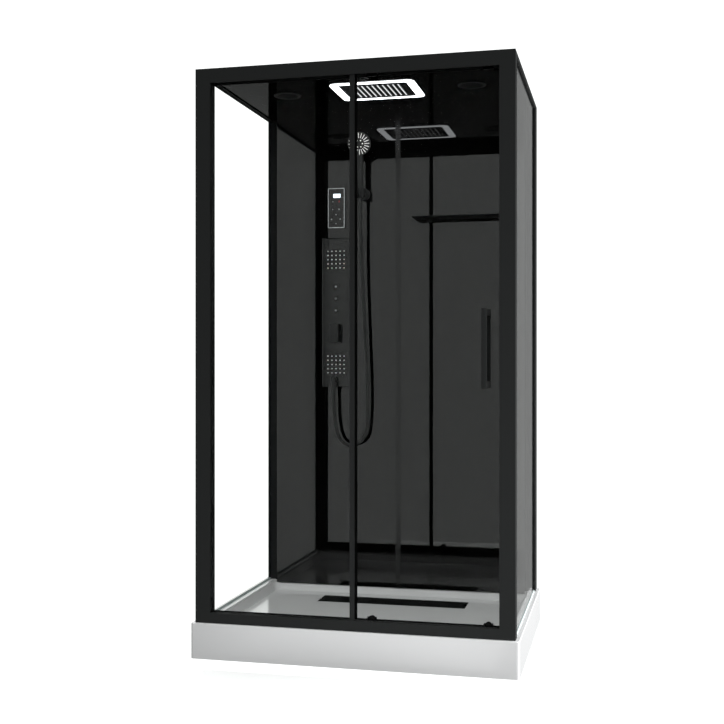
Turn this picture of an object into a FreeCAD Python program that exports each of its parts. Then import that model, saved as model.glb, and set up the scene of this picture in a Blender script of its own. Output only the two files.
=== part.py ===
"""Steam shower cabin, 1200 x 900 mm, with a sliding front door.

Frame of reference, in millimetres: +Z up, X from left to right, +Y from the
door into the cabin. The origin is on the floor, in the middle of the whole
cabin's outline, which reaches from the door handle to the tray's back edge.
"""
import math
import os

import FreeCAD
import Part

os.makedirs("parts", exist_ok=True)
V = FreeCAD.Vector
X_AXIS = V(1, 0, 0)
Y_AXIS = V(0, 1, 0)
Z_AXIS = V(0, 0, 1)

# ---------------------------------------------------------------- driving sizes
# Tray
tray_width = 1200.0
tray_depth = 900.0
tray_height = 133.0          # floor to the ledge that the walls stand on
tray_wall = 5.0              # acrylic and its glass-fibre backing
tray_corner = 12.0           # outer corner radius, seen from above
tray_edge = 3.0              # rounding along the top edge of the skirt
skirt_gap = 3.0              # space between skirt and floor
side_ledge = 51.0            # ledge width left and right
front_ledge = 65.0
back_ledge = 81.0
basin_step = 10.0            # drop from the ledge to the basin's rim
basin_depth = 25.0           # further drop from that rim to the standing surface
basin_run = 22.0             # how far the basin's sides lean in, left, right and front
basin_back_run = 39.0        # and at the back
basin_corner = 30.0
basin_step_corner = 8.0

# Drain
drain_length = 612.0
drain_width = 115.0
drain_to_wall = 96.0         # from the black wall to the nearer edge of the cover
drain_centre_x = 15.0
cover_thickness = 4.0
cover_notch = 9.0
cover_gap = 1.5              # running gap round the lift-out cover
channel_depth = 14.0
channel_rim = 6.0            # ledge that carries the cover
waste_radius = 45.0
waste_height = 55.0
waste_wall = 3.0
waste_pipe_radius = 20.0
waste_pipe_inset = 25.0      # tray's back edge to the end of the outlet
waste_neck_radius = 18.0
waste_spigot = 34.0          # plain end that the drain pipe slips over
waste_notch = 30.0           # half width of the cut-out in the skirt behind the outlet
strainer_radius = 30.0
strainer_rim = 6.0
strainer_depth = 22.0
strainer_wall = 2.0
strainer_fit = 0.4
strainer_holes = 8
strainer_hole_radius = 4.0
strainer_hole_ring = 17.0

# Under the tray
foot_radius = 22.0
foot_pad_height = 10.0
foot_stud_radius = 6.0
foot_side_inset = 90.0
foot_front_inset = 80.0
foot_middle_offset = 115.0
bearer_width = 30.0
bearer_height = 25.0
bearer_wall = 2.0
bearer_end_gap = 25.0

# Aluminium frame
frame_side_inset = 15.0      # tray edge to the frame's outer face
frame_front_inset = 12.0
cabin_height = 2160.0        # floor to the top of the frame
post_width = 56.0
front_depth = 50.0
profile_wall = 3.0
top_rail_height = 52.0
sill_height = 37.0
side_rail_height = 17.0
side_rail_width = 25.0
roof_ledge = 11.0            # ledge width under the roof panel
roof_underside = 13.0        # ceiling below the top of the rail
rear_post_width = 45.0
rear_post_depth = 70.0
rear_groove = 4.0            # dark gap between the rear post and the black glass
rear_flange = 30.0           # flange of the rear post behind the black glass
flange_thickness = 4.0
rear_rail_depth = 20.0
rear_rail_height = 40.0

# Glass
glass_thickness = 6.0
glass_slot = 8.0             # how far a pane enters its profile
glass_fit = 0.3              # clearance each side of a pane in its slot
side_glass_inset = 6.5       # frame's outer face to the pane's outer face
seal_height = 5.0
side_seal_lip = 2.0
service_depth = 82.0         # hollow behind the black back wall
wall_joint = 22.0            # width of the strip over the joint of the back wall
wall_joint_thickness = 2.5
wall_pane_gap = 1.0          # middle of the joint to a pane's edge
wall_side_gap = 48.0         # frame's outer face to the black glass
wall_foot_lift = 0.5         # black glass above the basin's rim
crossbar_height = 40.0
crossbar_depth = 15.0
crossbar_above_control = 120.0

# Front glazing
fixed_glass_setback = 8.0    # frame's front face to the fixed pane
centre_profile_width = 15.0
centre_profile_depth = 14.0
centre_profile_x = 5.0
centre_profile_lip = 4.0     # profile in front of and behind the fixed pane
door_gap = 12.0              # fixed pane to door pane
door_cover = 8.0             # centre profile's left side to the door's edge
door_overlap = 14.0          # door behind the right-hand post
door_edge_width = 13.0
door_edge_depth = 10.0
door_edge_lip = 2.0
door_end_gap = 1.0           # edge profile and seal above the sill
door_seal_lip = 1.5
door_seal_grip = 8.0         # how far the seal reaches over the pane
sill_trough = 12.0           # depth of the sill's trough under the door
door_foot_gap = 5.0          # pane above the bottom of that trough
door_rise = 14.0             # pane's top edge above the top rail's underside
door_side_gap = 2.3          # trough or pocket to the pane's faces
handle_width = 18.0
handle_thickness = 10.0
handle_length = 276.0
handle_bottom = 996.0
handle_to_edge = 63.0        # middle of the bar to the door's closing edge
handle_reach_out = 46.0      # door pane to the back of the outer bar
handle_reach_in = 50.0
handle_bolt_radius = 6.0
handle_bolt_fit = 1.0        # clearance of the bolt in the pane
handle_stud_width = 14.0
handle_stud_height = 23.0
handle_stud_inset = 12.0
handle_edge = 1.0
pocket_top_gap = 12.0        # top of the post to the pocket for the door's edge

# Rollers
roller_radius = 10.0
roller_width = 6.0
roller_inset_left = 67.0     # door edges to the rollers
roller_inset_right = 55.0
roller_groove = 1.0          # depth, and half the width, of the groove in the rim
top_roller_rise = 16.0       # axis above the pane's top edge
bottom_roller_rise = 5.0     # axis above the sill
roller_pin_radius = 3.0
roller_fit = 0.05            # running clearance on the pin
roller_rest = 0.05           # and above the track
carrier_width = 34.0
carrier_thickness = 4.0
carrier_gap = 1.0            # carrier to the roller's side
carrier_grip = 18.0          # how far an upper carrier reaches down the pane
carrier_above_top = 7.0
carrier_below_foot = 9.0
carrier_above_foot = 6.0
pin_proud = 1.0

# Ceiling
roof_thickness = 4.0
roof_post_gap = 1.0          # relief round the rear posts
ceiling_centre_x = 9.0
lamp_length = 330.0
lamp_width = 260.0
lamp_side_band = 30.0
lamp_front_band = 19.0
lamp_corner = 26.0
lamp_inner_corner = 12.0
lamp_rebate = 6.0            # lamp's rim that covers the roof's opening
board_inset = 7.0
board_thickness = 2.0
lamp_thickness = 8.0
lamp_drop = 3.0              # how far the lamp and rain head stand below the ceiling
rain_fit = 0.5
rain_thickness = 16.0
rain_skin = 2.5
rain_set_back = 1.0          # rain head behind the lamp's face
nozzle_strips = 10
strip_pitch = 20.3
strip_width = 5.0
strip_length = 165.0
strip_shift = 6.0            # middle of the strips to the middle of the lamp
strip_drop = 1.0
rain_inlet_radius = 11.0
rain_inlet_wall = 3.0
rain_inlet_height = 30.0
bezel_radius = 54.0
bezel_offset = 369.0         # from the ceiling's centre line
bezel_thickness = 3.0
bezel_rim = 5.0
grille_slots = 9
grille_margin = 8.0          # rim to the ends of the slots
fan_radius = 42.0
fan_hub_radius = 14.0
fan_clearance = 2.0          # blade tips to the duct
fan_lift = 6.0               # roof to the wheel
fan_motor_gap = 2.0
fan_arm_half = 4.0
fan_arm_thickness = 4.0
fan_arm_bite = 2.5           # blade tips to the ends of the arms
fan_motor_drop = 1.0         # motor below the duct's top
fan_shaft_radius = 2.5
fan_shaft_foot = 2.0         # shaft's end above the wheel's lower face
fan_flange = 4.0
fan_flange_thickness = 3.0
blade_half = 1.0             # half a blade's thickness, and its root in the hub
blade_margin = 2.0
blade_lean = 42.0
fan_blades = 7
fan_height = 24.0
fan_housing_height = 46.0
duct_wall = 2.0
speaker_magnet_radius = 26.0
speaker_magnet_height = 14.0
speaker_cone_depth = 22.0
speaker_wall = 3.0

# Shower column
column_x = -261.5
column_width = 127.0
column_bottom = 979.0
column_height = 641.0
column_depth = 28.0
column_skin = 2.0
column_face = 4.0            # thickness of its front
column_corner = 5.0
jet_pitch = 18.0
jet_rows = 5
jet_radius = 2.5
jet_stand = 1.2
jet_plate = 5.0
jet_plate_margin = 3.0
upper_jets_z = 1526.0
lower_jets_z = 1075.5
button_heights = (1410.0, 1358.5, 1308.0)
button_radius = 11.0
button_stand = 3.5
button_edge = 0.8
button_travel = 2.5
button_fit = 0.25
button_guide = 4.0           # how far a stem reaches into the valve block
stem_radius = 4.0
lever_z = 1210.5
lever_width = 38.0
lever_length = 79.0
lever_depth = 30.0
lever_corner = 5.0
hub_radius = 18.0
hub_height = 12.0
lever_edge = 2.0
cartridge_radius = 17.0
spindle_radius = 4.0
spindle_fit = 0.1
spindle_end_gap = 0.5
cartridge_hole = 3.0         # glass cut back round the cartridge
block_depth = 18.0
block_wall = 4.0
block_wall_gap = 0.3         # valve block to the black glass
inlet_spacing = 60.0
inlet_radius = 10.5          # half-inch thread
inlet_bore = 7.0
inlet_neck_radius = 12.0     # shoulder that passes through the glass
inlet_hole_fit = 1.5
inlet_tail = 24.0            # thread that stands out behind the glass
inlet_above_foot = 75.0

# Hose and handset
hose_radius = 7.0
elbow_x = -266.0
elbow_z = 1013.0
elbow_radius = 9.0
elbow_flange = 16.0
elbow_flange_depth = 4.0
elbow_reach = 20.0
elbow_drop = 18.0
nut_low_radius = 9.0
nut_high_radius = 12.5
nut_length = 34.0
nut_overlap = 6.0            # how far a nut reaches over what it is screwed to
handset_x = -143.0
handset_to_wall = 72.0       # black wall to the axis of the grip
nut_low_z = 1788.0           # foot of the nut under the handset
spigot_radius = 9.0
grip_foot_radius = 12.5
grip_top_radius = 13.5
neck_step = 1.0
grip_length = 150.0
head_radius = 49.0
head_thickness = 22.0
head_crown = 8.0             # how much of that is the crown at the back
head_tilt = 14.0             # degrees that the face looks down
head_centre_z = 2005.0
head_forward = 24.0
face_inset = 1.5
face_fit = 0.2
face_thickness = 3.0
ray_count = 20
ray_inner = 24.0
ray_outer = 45.0
ray_width = 2.4
dot_count = 6
dot_ring = 15.0
dot_radius = 2.8
nozzle_stand = 1.0
rosette_edge = 2.0
rosette_radius = 26.0
rosette_thickness = 8.0
arm_radius = 9.0
socket_radius = 19.0
socket_height = 40.0
socket_z = 1804.0
socket_fit = 0.3
socket_mouth = 16.0          # slot that lets the hose in and out

# Control panel on the wall
control_x = -263.5
control_z = 1749.0
control_width = 73.0
control_height = 170.0
control_depth = 18.0
control_bezel = 2.0
control_corner = 3.0
control_sink = 0.5           # glass front behind the frame's edge
display_width = 32.0
display_height = 17.0
display_thickness = 2.0
display_below_top = 32.5     # top of the frame to the middle of the display
display_offset = 3.0
cable_hole_radius = 8.0

# Shelf
shelf_to_side = 45.0         # basin's right side to the shelf's end
shelf_length = 420.0
shelf_depth = 100.0
shelf_thickness = 5.0
shelf_z = 1688.0             # underside
shelf_edge = 0.8
bracket_width = 22.0
bracket_drop = 10.0
bracket_inset = 60.0
bracket_reach = 60.0
bracket_toe = 2.0
bracket_root = 4.0
bracket_plate = 3.0

# Steam
outlet_to_side = 113.0       # tray's right side to the middle of the outlet
outlet_z = 330.0
outlet_radius = 24.0
outlet_depth = 16.0
outlet_wall = 4.0
outlet_slot = 28.0
outlet_edge = 4.0
outlet_pipe_radius = 9.0
outlet_pipe_fit = 1.0
outlet_knee_gap = 24.0       # black glass to the elbow behind it
outlet_rise = 26.0
generator_width = 320.0
generator_height = 240.0
generator_depth = 51.0
generator_corner = 6.0
generator_to_outlet = 237.0  # middle of the case to the middle of the outlet
generator_z = 900.0
spout_inset = 30.0
spout_length = 18.0

# Fasteners
screw_head_radius = 4.0
screw_head_height = 2.2
cut_past = 1.0               # how far a cutter passes the face that it opens

# ---------------------------------------------------------------- derived places
half_width = tray_width / 2
door_setback = frame_front_inset + fixed_glass_setback + glass_thickness + door_gap
handle_overhang = handle_reach_out + handle_thickness - door_setback
tray_middle_y = handle_overhang / 2
tray_front_y = tray_middle_y - tray_depth / 2
frame_x = half_width - frame_side_inset
front_y = tray_front_y + frame_front_inset
frame_inner_y = front_y + front_depth
back_y = tray_middle_y + tray_depth / 2
ledge_z = tray_height
basin_rim_z = ledge_z - basin_step
floor_z = basin_rim_z - basin_depth
basin_x = half_width - side_ledge
basin_front_y = tray_front_y + front_ledge
basin_back_y = back_y - back_ledge
wall_y = back_y - service_depth - glass_thickness
wall_back_y = wall_y + glass_thickness
top_z = cabin_height
ceiling_z = top_z - roof_underside
rail_under_z = top_z - top_rail_height
side_rail_z = top_z - side_rail_height
post_inner_x = frame_x - post_width
sill_top_z = ledge_z + sill_height
rear_post_y = back_y - rear_post_depth
side_glass_x = frame_x - side_glass_inset
fixed_glass_y = front_y + fixed_glass_setback
door_y = fixed_glass_y + glass_thickness + door_gap
door_back_y = door_y + glass_thickness
door_left_x = centre_profile_x - centre_profile_width / 2 + door_cover
door_right_x = post_inner_x + door_overlap
handle_x = door_right_x - handle_to_edge
shelf_x = basin_x - shelf_to_side - shelf_length
outlet_x = half_width - outlet_to_side
generator_x = outlet_x - generator_to_outlet
column_y = wall_y - column_depth
ceiling_y = (front_y + wall_y) / 2
drain_back_y = wall_y - drain_to_wall
drain_y = drain_back_y - drain_width / 2
channel_z = floor_z - channel_depth
handset_y = wall_y - handset_to_wall


# ---------------------------------------------------------------- shape helpers
def box(x0, x1, y0, y1, z0, z1):
    """Block between two corners, given in any order."""
    low = V(min(x0, x1), min(y0, y1), min(z0, z1))
    return Part.makeBox(abs(x1 - x0), abs(y1 - y0), abs(z1 - z0), low)


def rod(start, end, radius):
    """Round bar from one point to another."""
    return Part.makeCylinder(radius, (end - start).Length, start, end - start)


def pipe(start, end, radius, bore):
    """Round tube from one point to another, open at both ends."""
    return rod(start, end, radius).cut(rod(start, end, bore))


def cone(start, end, start_radius, end_radius):
    """Tapered round bar from one point to another."""
    return Part.makeCone(start_radius, end_radius, (end - start).Length, start, end - start)


def rounded_rectangle(x0, x1, y0, y1, radius, z):
    """Closed wire of a rectangle with rounded corners, flat at height z."""
    half = math.pi / 2
    corners = ((x1 - radius, y0 + radius, -half), (x1 - radius, y1 - radius, 0.0),
               (x0 + radius, y1 - radius, half), (x0 + radius, y0 + radius, math.pi))
    arcs = []
    for cx, cy, start in corners:
        ends = [V(cx + radius * math.cos(a), cy + radius * math.sin(a), z)
                for a in (start, start + half / 2, start + half)]
        arcs.append(Part.Arc(*ends).toShape())
    edges = []
    for number, arc in enumerate(arcs):
        following = arcs[(number + 1) % len(arcs)]
        edges.append(arc)
        edges.append(Part.makeLine(arc.lastVertex().Point, following.firstVertex().Point))
    return Part.Wire(Part.__sortEdges__(edges))


def rounded_block(x0, x1, y0, y1, z0, z1, radius):
    """Block with rounded upright corners."""
    face = Part.Face(rounded_rectangle(x0, x1, y0, y1, radius, z0))
    return face.extrude(V(0, 0, z1 - z0))


def upright(points, z0, z1):
    """Profile drawn in plan as (x, y) points, extruded from z0 to z1."""
    outline = Part.makePolygon([V(x, y, z0) for x, y in points] + [V(*points[0], z0)])
    return Part.Face(outline).extrude(V(0, 0, z1 - z0))


def along_x(points, x0, x1):
    """Profile drawn as (y, z) points, extruded from x0 to x1."""
    outline = Part.makePolygon([V(x0, y, z) for y, z in points] + [V(x0, *points[0])])
    return Part.Face(outline).extrude(V(x1 - x0, 0, 0))


def along_y(points, y0, y1):
    """Profile drawn as (x, z) points, extruded from y0 to y1."""
    first = points[0]
    outline = Part.makePolygon([V(x, y0, z) for x, z in points] + [V(first[0], y0, first[1])])
    return Part.Face(outline).extrude(V(0, y1 - y0, 0))


def mirrored(shape):
    """The same piece on the other side of the cabin's middle."""
    return shape.mirror(V(0, 0, 0), X_AXIS)


def pair(shape):
    """A left-hand piece and its mirror image, as one node."""
    return group([shape, mirrored(shape)])


def joined(shapes):
    """Touching shapes as one solid, without seams."""
    shapes = list(shapes)
    return shapes[0].fuse(shapes[1:]).removeSplitter()


def group(shapes):
    """Separate solids kept in one node."""
    return Part.Compound(list(shapes))


def save(name, shape):
    """Write one node, after checking its solids."""
    if not shape.isValid():
        print("INVALID", name)
    volume = sum(solid.Volume for solid in shape.Solids)
    print("%-26s solids %3d  volume %10.0f" % (name, len(shape.Solids), volume))
    shape.exportStep(os.path.join("parts", name + ".step"))


# ---------------------------------------------------------------- shower tray
def basin():
    """Hollow of the basin: a step below the ledge, then leaning sides."""
    step = rounded_block(-basin_x, basin_x, basin_front_y, basin_back_y,
                         basin_rim_z, ledge_z, basin_step_corner)
    top = rounded_rectangle(-basin_x, basin_x, basin_front_y, basin_back_y,
                            basin_corner, basin_rim_z)
    bottom = rounded_rectangle(-basin_x + basin_run, basin_x - basin_run,
                               basin_front_y + basin_run, basin_back_y - basin_back_run,
                               basin_corner, floor_z)
    return joined([step, Part.makeLoft([bottom, top], True, True)])


def drain_plan(grow, z0, z1):
    """Block over the drain's plan, grown or shrunk all round."""
    return box(drain_centre_x - drain_length / 2 - grow, drain_centre_x + drain_length / 2 + grow,
               drain_y - drain_width / 2 - grow, drain_y + drain_width / 2 + grow, z0, z1)


def shower_tray():
    """Acrylic tray: skirt, ledge, basin, and the channel under the drain cover."""
    shell = rounded_block(-half_width, half_width, tray_front_y, back_y,
                          skirt_gap, ledge_z, tray_corner)
    top_edges = [edge for edge in shell.Edges
                 if edge.BoundBox.ZMin > ledge_z - 0.01]
    shell = shell.makeFillet(tray_edge, top_edges)
    under = floor_z - tray_wall
    wall = tray_wall
    shell = shell.cut(rounded_block(-half_width + wall, half_width - wall,
                                    tray_front_y + wall, back_y - wall,
                                    skirt_gap, under, tray_corner - wall))
    outer = rounded_block(-half_width + wall, half_width - wall,
                          tray_front_y + wall, back_y - wall,
                          under, ledge_z - wall, tray_corner - wall)
    inner = rounded_block(-basin_x - wall, basin_x + wall, basin_front_y - wall,
                          basin_back_y + wall, under, ledge_z - wall, basin_step_corner + wall)
    shell = shell.cut(outer.cut(inner)).cut(basin())
    rim = channel_rim
    trough = drain_plan(wall - rim, channel_z - wall, under)
    shell = joined([shell, trough])
    shell = shell.cut(drain_plan(cover_gap, floor_z - cover_thickness, floor_z))
    shell = shell.cut(drain_plan(-rim, channel_z, floor_z))
    hole = rod(V(drain_centre_x, drain_y, channel_z - wall), V(drain_centre_x, drain_y, floor_z),
               strainer_radius)
    notch = box(drain_centre_x - waste_notch, drain_centre_x + waste_notch,
                back_y - wall, back_y, skirt_gap, waste_outlet_z() + waste_notch)
    return shell.cut([hole, notch])


def drain_cover():
    """Black cover plate with a finger notch at each end."""
    cover = drain_plan(0, floor_z - cover_thickness, floor_z)
    for side in (-1, 1):
        x = drain_centre_x + side * drain_length / 2
        cover = cover.cut(rod(V(x, drain_y, floor_z - cover_thickness),
                              V(x, drain_y, floor_z), cover_notch))
    return cover


def waste_outlet_z():
    """Height of the outlet's axis."""
    return channel_z - tray_wall - waste_height + waste_wall + waste_pipe_radius


def waste_trap():
    """Trap body under the channel, with its side outlet."""
    top = channel_z - tray_wall
    low = top - waste_height
    wall = waste_wall
    middle = V(drain_centre_x, drain_y, 0)
    spout_start = V(drain_centre_x, drain_y, waste_outlet_z())
    spout_end = V(drain_centre_x, back_y - waste_pipe_inset, waste_outlet_z())
    neck_end = spout_end - V(0, waste_spigot, 0)
    body = joined([rod(middle + V(0, 0, low), middle + V(0, 0, top), waste_radius),
                   rod(spout_start, neck_end, waste_neck_radius),
                   rod(neck_end, spout_end, waste_pipe_radius)])
    body = body.cut(rod(middle + V(0, 0, low + wall), middle + V(0, 0, top), strainer_radius))
    return body.cut([rod(spout_start, neck_end, waste_neck_radius - wall),
                     rod(neck_end, spout_end, waste_pipe_radius - wall)])


def hair_strainer():
    """Lift-out cup with holes that hangs in the waste."""
    top = channel_z
    middle = V(drain_centre_x, drain_y, 0)
    cup_radius = strainer_radius - strainer_fit
    wall = strainer_wall
    cup = rod(middle + V(0, 0, top - strainer_depth), middle + V(0, 0, top), cup_radius)
    rim = rod(middle + V(0, 0, top), middle + V(0, 0, top + wall), strainer_radius + strainer_rim)
    cup = joined([cup, rim])
    cup = cup.cut(rod(middle + V(0, 0, top - strainer_depth + wall), middle + V(0, 0, top + wall),
                      cup_radius - wall))
    holes = []
    for number in range(strainer_holes):
        angle = 2 * math.pi * number / strainer_holes
        place = middle + V(strainer_hole_ring * math.cos(angle),
                           strainer_hole_ring * math.sin(angle), top - strainer_depth)
        holes.append(rod(place, place + V(0, 0, wall), strainer_hole_radius))
    return cup.cut(holes)


def bearer_rows():
    """Y of the front and the back bearer."""
    return tray_front_y + foot_front_inset, back_y - foot_front_inset


def foot_places():
    """Six feet: three along the front, three along the back."""
    xs = (-half_width + foot_side_inset, -foot_middle_offset, half_width - foot_side_inset)
    ys = bearer_rows()
    return [(x, y) for y in ys for x in xs]


def levelling_feet():
    """Screw feet under the bearers."""
    bearer_z = floor_z - tray_wall - bearer_height
    feet = []
    for x, y in foot_places():
        pad = rod(V(x, y, 0), V(x, y, foot_pad_height), foot_radius)
        stud = rod(V(x, y, foot_pad_height), V(x, y, bearer_z), foot_stud_radius)
        feet.append(joined([pad, stud]))
    return group(feet)


def bearer(start, end, z0):
    """Square steel tube between two plan corners, hollow along its longer side."""
    (x0, y0), (x1, y1) = start, end
    z1 = z0 + bearer_height
    wall = bearer_wall
    outer = box(x0, x1, y0, y1, z0, z1)
    if abs(x1 - x0) > abs(y1 - y0):
        inner = box(x0, x1, y0 + wall, y1 - wall, z0 + wall, z1 - wall)
    else:
        inner = box(x0 + wall, x1 - wall, y0, y1, z0 + wall, z1 - wall)
    return outer.cut(inner)


def tray_frame():
    """Two long bearers under the tray's floor and the cross members between them."""
    z0 = floor_z - tray_wall - bearer_height
    half = bearer_width / 2
    long_half = half_width - tray_wall - bearer_end_gap
    front_row, back_row = bearer_rows()
    tubes = [bearer((-long_half, y - half), (long_half, y + half), z0)
             for y in (front_row, back_row)]
    cross_x = half_width - foot_side_inset
    tubes += [bearer((x - half, front_row + half), (x + half, back_row - half), z0)
              for x in (-cross_x, cross_x)]
    return group(tubes)


# ---------------------------------------------------------------- aluminium frame
def pane_slot(side, y0, y1, z0, z1):
    """Groove for a side pane; side is -1 on the left and 1 on the right."""
    outer = side_glass_x + glass_fit
    inner = side_glass_x - glass_thickness - glass_fit
    return box(side * outer, side * inner, y0, y1, z0, z1)


def front_post():
    """Left front post: hollow box with a groove for the side pane behind it."""
    x0, x1 = -frame_x, -post_inner_x
    wall = profile_wall
    post = box(x0, x1, front_y, frame_inner_y, ledge_z, top_z)
    hollow = box(x0 + wall, x1 - wall, front_y + wall, frame_inner_y - glass_slot - 2 * wall,
                 ledge_z, top_z - wall)
    slot = pane_slot(-1, frame_inner_y - glass_slot, frame_inner_y, ledge_z, side_rail_z + glass_slot)
    pane = box(x1 - glass_slot, x1, fixed_glass_y - glass_fit,
               fixed_glass_y + glass_thickness + glass_fit, sill_top_z - glass_slot,
               rail_under_z + glass_slot)
    return post.cut([hollow, slot, pane])


def right_front_post():
    """Right front post, open on its inner side where the door slides in."""
    x0, x1 = post_inner_x, frame_x
    wall = profile_wall
    post = box(x0, x1, front_y, frame_inner_y, ledge_z, top_z)
    hollow = box(x0 + door_overlap + door_side_gap + wall, x1 - wall, front_y + wall,
                 frame_inner_y - glass_slot - 2 * wall, ledge_z, top_z - wall)
    slot = pane_slot(1, frame_inner_y - glass_slot, frame_inner_y, ledge_z, side_rail_z + glass_slot)
    pocket = box(x0, x0 + door_overlap + door_side_gap, door_y - door_side_gap,
                 door_back_y + door_side_gap, sill_top_z - sill_trough,
                 top_z - pocket_top_gap)
    return post.cut([hollow, slot, pocket])


def top_front_rail():
    """Top rail: a channel open below, with the roller track and a ledge for the roof."""
    wall = profile_wall
    inner = frame_inner_y
    ledge = inner + roof_ledge
    outline = ((front_y, rail_under_z), (front_y, top_z), (inner, top_z), (inner, ceiling_z),
               (ledge, ceiling_z), (ledge, ceiling_z - wall), (inner, ceiling_z - wall),
               (inner, rail_under_z))
    rail = along_x(outline, -post_inner_x, post_inner_x)
    channel = box(-post_inner_x, post_inner_x, fixed_glass_y - glass_fit,
                  inner - wall, rail_under_z, top_z - wall)
    track_top = top_roller_z() - roller_radius - roller_rest
    track = box(-post_inner_x, post_inner_x, roller_y() - roller_width / 2, inner - wall,
                track_top - wall, track_top)
    return joined([rail.cut(channel), track])


def bottom_front_rail():
    """Sill: a groove for the fixed pane, a trough for the door and a track for its rollers."""
    rail = box(-post_inner_x, post_inner_x, front_y, frame_inner_y, ledge_z, sill_top_z)
    fixed_groove = box(-post_inner_x, centre_profile_x + centre_profile_width / 2,
                       fixed_glass_y - glass_fit, fixed_glass_y + glass_thickness + glass_fit,
                       sill_top_z - glass_slot, sill_top_z)
    trough_y = door_y - door_side_gap
    roller_front_y = roller_y() - roller_width / 2 - roller_rest
    trough = box(-post_inner_x, post_inner_x, trough_y, roller_front_y,
                 sill_top_z - sill_trough, sill_top_z)
    track_z = bottom_roller_z() - roller_radius - roller_rest
    track = box(-post_inner_x, post_inner_x, roller_front_y, frame_inner_y - profile_wall,
                track_z, sill_top_z)
    hollow = box(-post_inner_x, post_inner_x, front_y + profile_wall, frame_inner_y - profile_wall,
                 ledge_z + profile_wall, sill_top_z - sill_trough - profile_wall)
    return rail.cut([fixed_groove, trough, track, hollow])


def side_rail():
    """Left top rail: grips the side pane from above and carries the roof's edge."""
    x_out = -frame_x
    x_in = x_out + side_rail_width
    outline = ((x_out, side_rail_z), (x_out, top_z), (x_in - roof_ledge, top_z),
               (x_in - roof_ledge, ceiling_z), (x_in, ceiling_z), (x_in, side_rail_z))
    rail = along_y(outline, frame_inner_y, rear_post_y)
    return rail.cut(pane_slot(-1, frame_inner_y, rear_post_y, side_rail_z,
                              side_rail_z + glass_slot))


def rear_post():
    """Left rear post: hollow box with a flange behind the black glass."""
    wall = profile_wall
    x_out = -frame_x
    x_in = x_out + rear_post_width
    x_front = x_in - rear_groove
    flange_y = wall_back_y + glass_fit
    flange_x = x_out + wall_side_gap + rear_flange
    outline = ((x_out, rear_post_y), (x_front, rear_post_y), (x_front, flange_y),
               (flange_x, flange_y), (flange_x, flange_y + flange_thickness),
               (x_in, flange_y + flange_thickness), (x_in, back_y), (x_out, back_y))
    post = upright(outline, ledge_z, top_z)
    hollow = box(x_out + wall, x_front - wall, rear_post_y + glass_slot + 2 * wall, back_y - wall,
                 ledge_z, top_z - wall)
    slot = pane_slot(-1, rear_post_y, rear_post_y + glass_slot, ledge_z, side_rail_z + glass_slot)
    flange_top = box(x_front, flange_x, flange_y, rear_post_y, ceiling_z, top_z)
    return post.cut([hollow, slot, flange_top] + rear_screws(-1))


def rear_screws(side):
    """Countersunk heads in the back of one rear post."""
    x = side * (frame_x - rear_post_width / 2)
    heights = (ledge_z + rear_rail_height / 2, lever_z, top_z - rear_rail_height / 2)
    return [rod(V(x, back_y - screw_head_height, z), V(x, back_y, z), screw_head_radius)
            for z in heights]


def rear_inner_x():
    """Half the space between the rear posts."""
    return frame_x - rear_post_width


def hollow_bar(y0, y1, z0, z1):
    """Hollow rail between the rear posts."""
    wall = profile_wall
    x1 = rear_inner_x()
    bar = box(-x1, x1, y0, y1, z0, z1)
    return bar.cut(box(-x1, x1, y0 + wall, y1 - wall, z0 + wall, z1 - wall))


def crossbar_heights():
    """Middle heights of the bars behind the black glass."""
    return (generator_z + crossbar_height, generator_z + generator_height - crossbar_height,
            control_z + crossbar_above_control)


def crossbar_y():
    """Front face of those bars, against the rear posts' flanges."""
    return wall_back_y + glass_fit + flange_thickness


def rear_rails():
    """Rear top and bottom rails, and the bars that carry the fittings."""
    y0 = back_y - rear_rail_depth
    top = hollow_bar(y0, back_y, top_z - rear_rail_height, top_z)
    ledge = box(-rear_inner_x(), rear_inner_x(), y0 - roof_ledge, y0,
                ceiling_z - profile_wall, ceiling_z)
    bottom = hollow_bar(y0, back_y, ledge_z, ledge_z + rear_rail_height)
    half = crossbar_height / 2
    bars = [hollow_bar(crossbar_y(), crossbar_y() + crossbar_depth, z - half, z + half)
            for z in crossbar_heights()]
    return group([joined([top, ledge]), bottom] + bars)


# ---------------------------------------------------------------- panes
def side_pane():
    """Left clear pane, held in the posts, the top rail and the seal."""
    y0 = frame_inner_y - glass_slot + glass_fit
    y1 = rear_post_y + glass_slot - glass_fit
    return box(-side_glass_x, -side_glass_x + glass_thickness, y0, y1,
               ledge_z + seal_height / 2, side_rail_z + glass_slot - glass_fit)


def side_seal():
    """Left bottom seal between pane and ledge."""
    x0 = -side_glass_x - side_seal_lip
    x1 = -side_glass_x + glass_thickness + side_seal_lip
    seal = box(x0, x1, frame_inner_y, rear_post_y, ledge_z, ledge_z + seal_height)
    groove = box(-side_glass_x, -side_glass_x + glass_thickness,
                 frame_inner_y, rear_post_y, ledge_z + seal_height / 2, ledge_z + seal_height)
    return seal.cut(groove)


def wall_hole(x, z, radius):
    """Bore through the black glass."""
    return rod(V(x, wall_y, z), V(x, wall_back_y, z), radius)


def inlet_places():
    """Hot and cold inlets behind the column, as (x, z)."""
    z = column_bottom + inlet_above_foot
    return ((column_x - inlet_spacing / 2, z), (column_x + inlet_spacing / 2, z))


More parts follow.
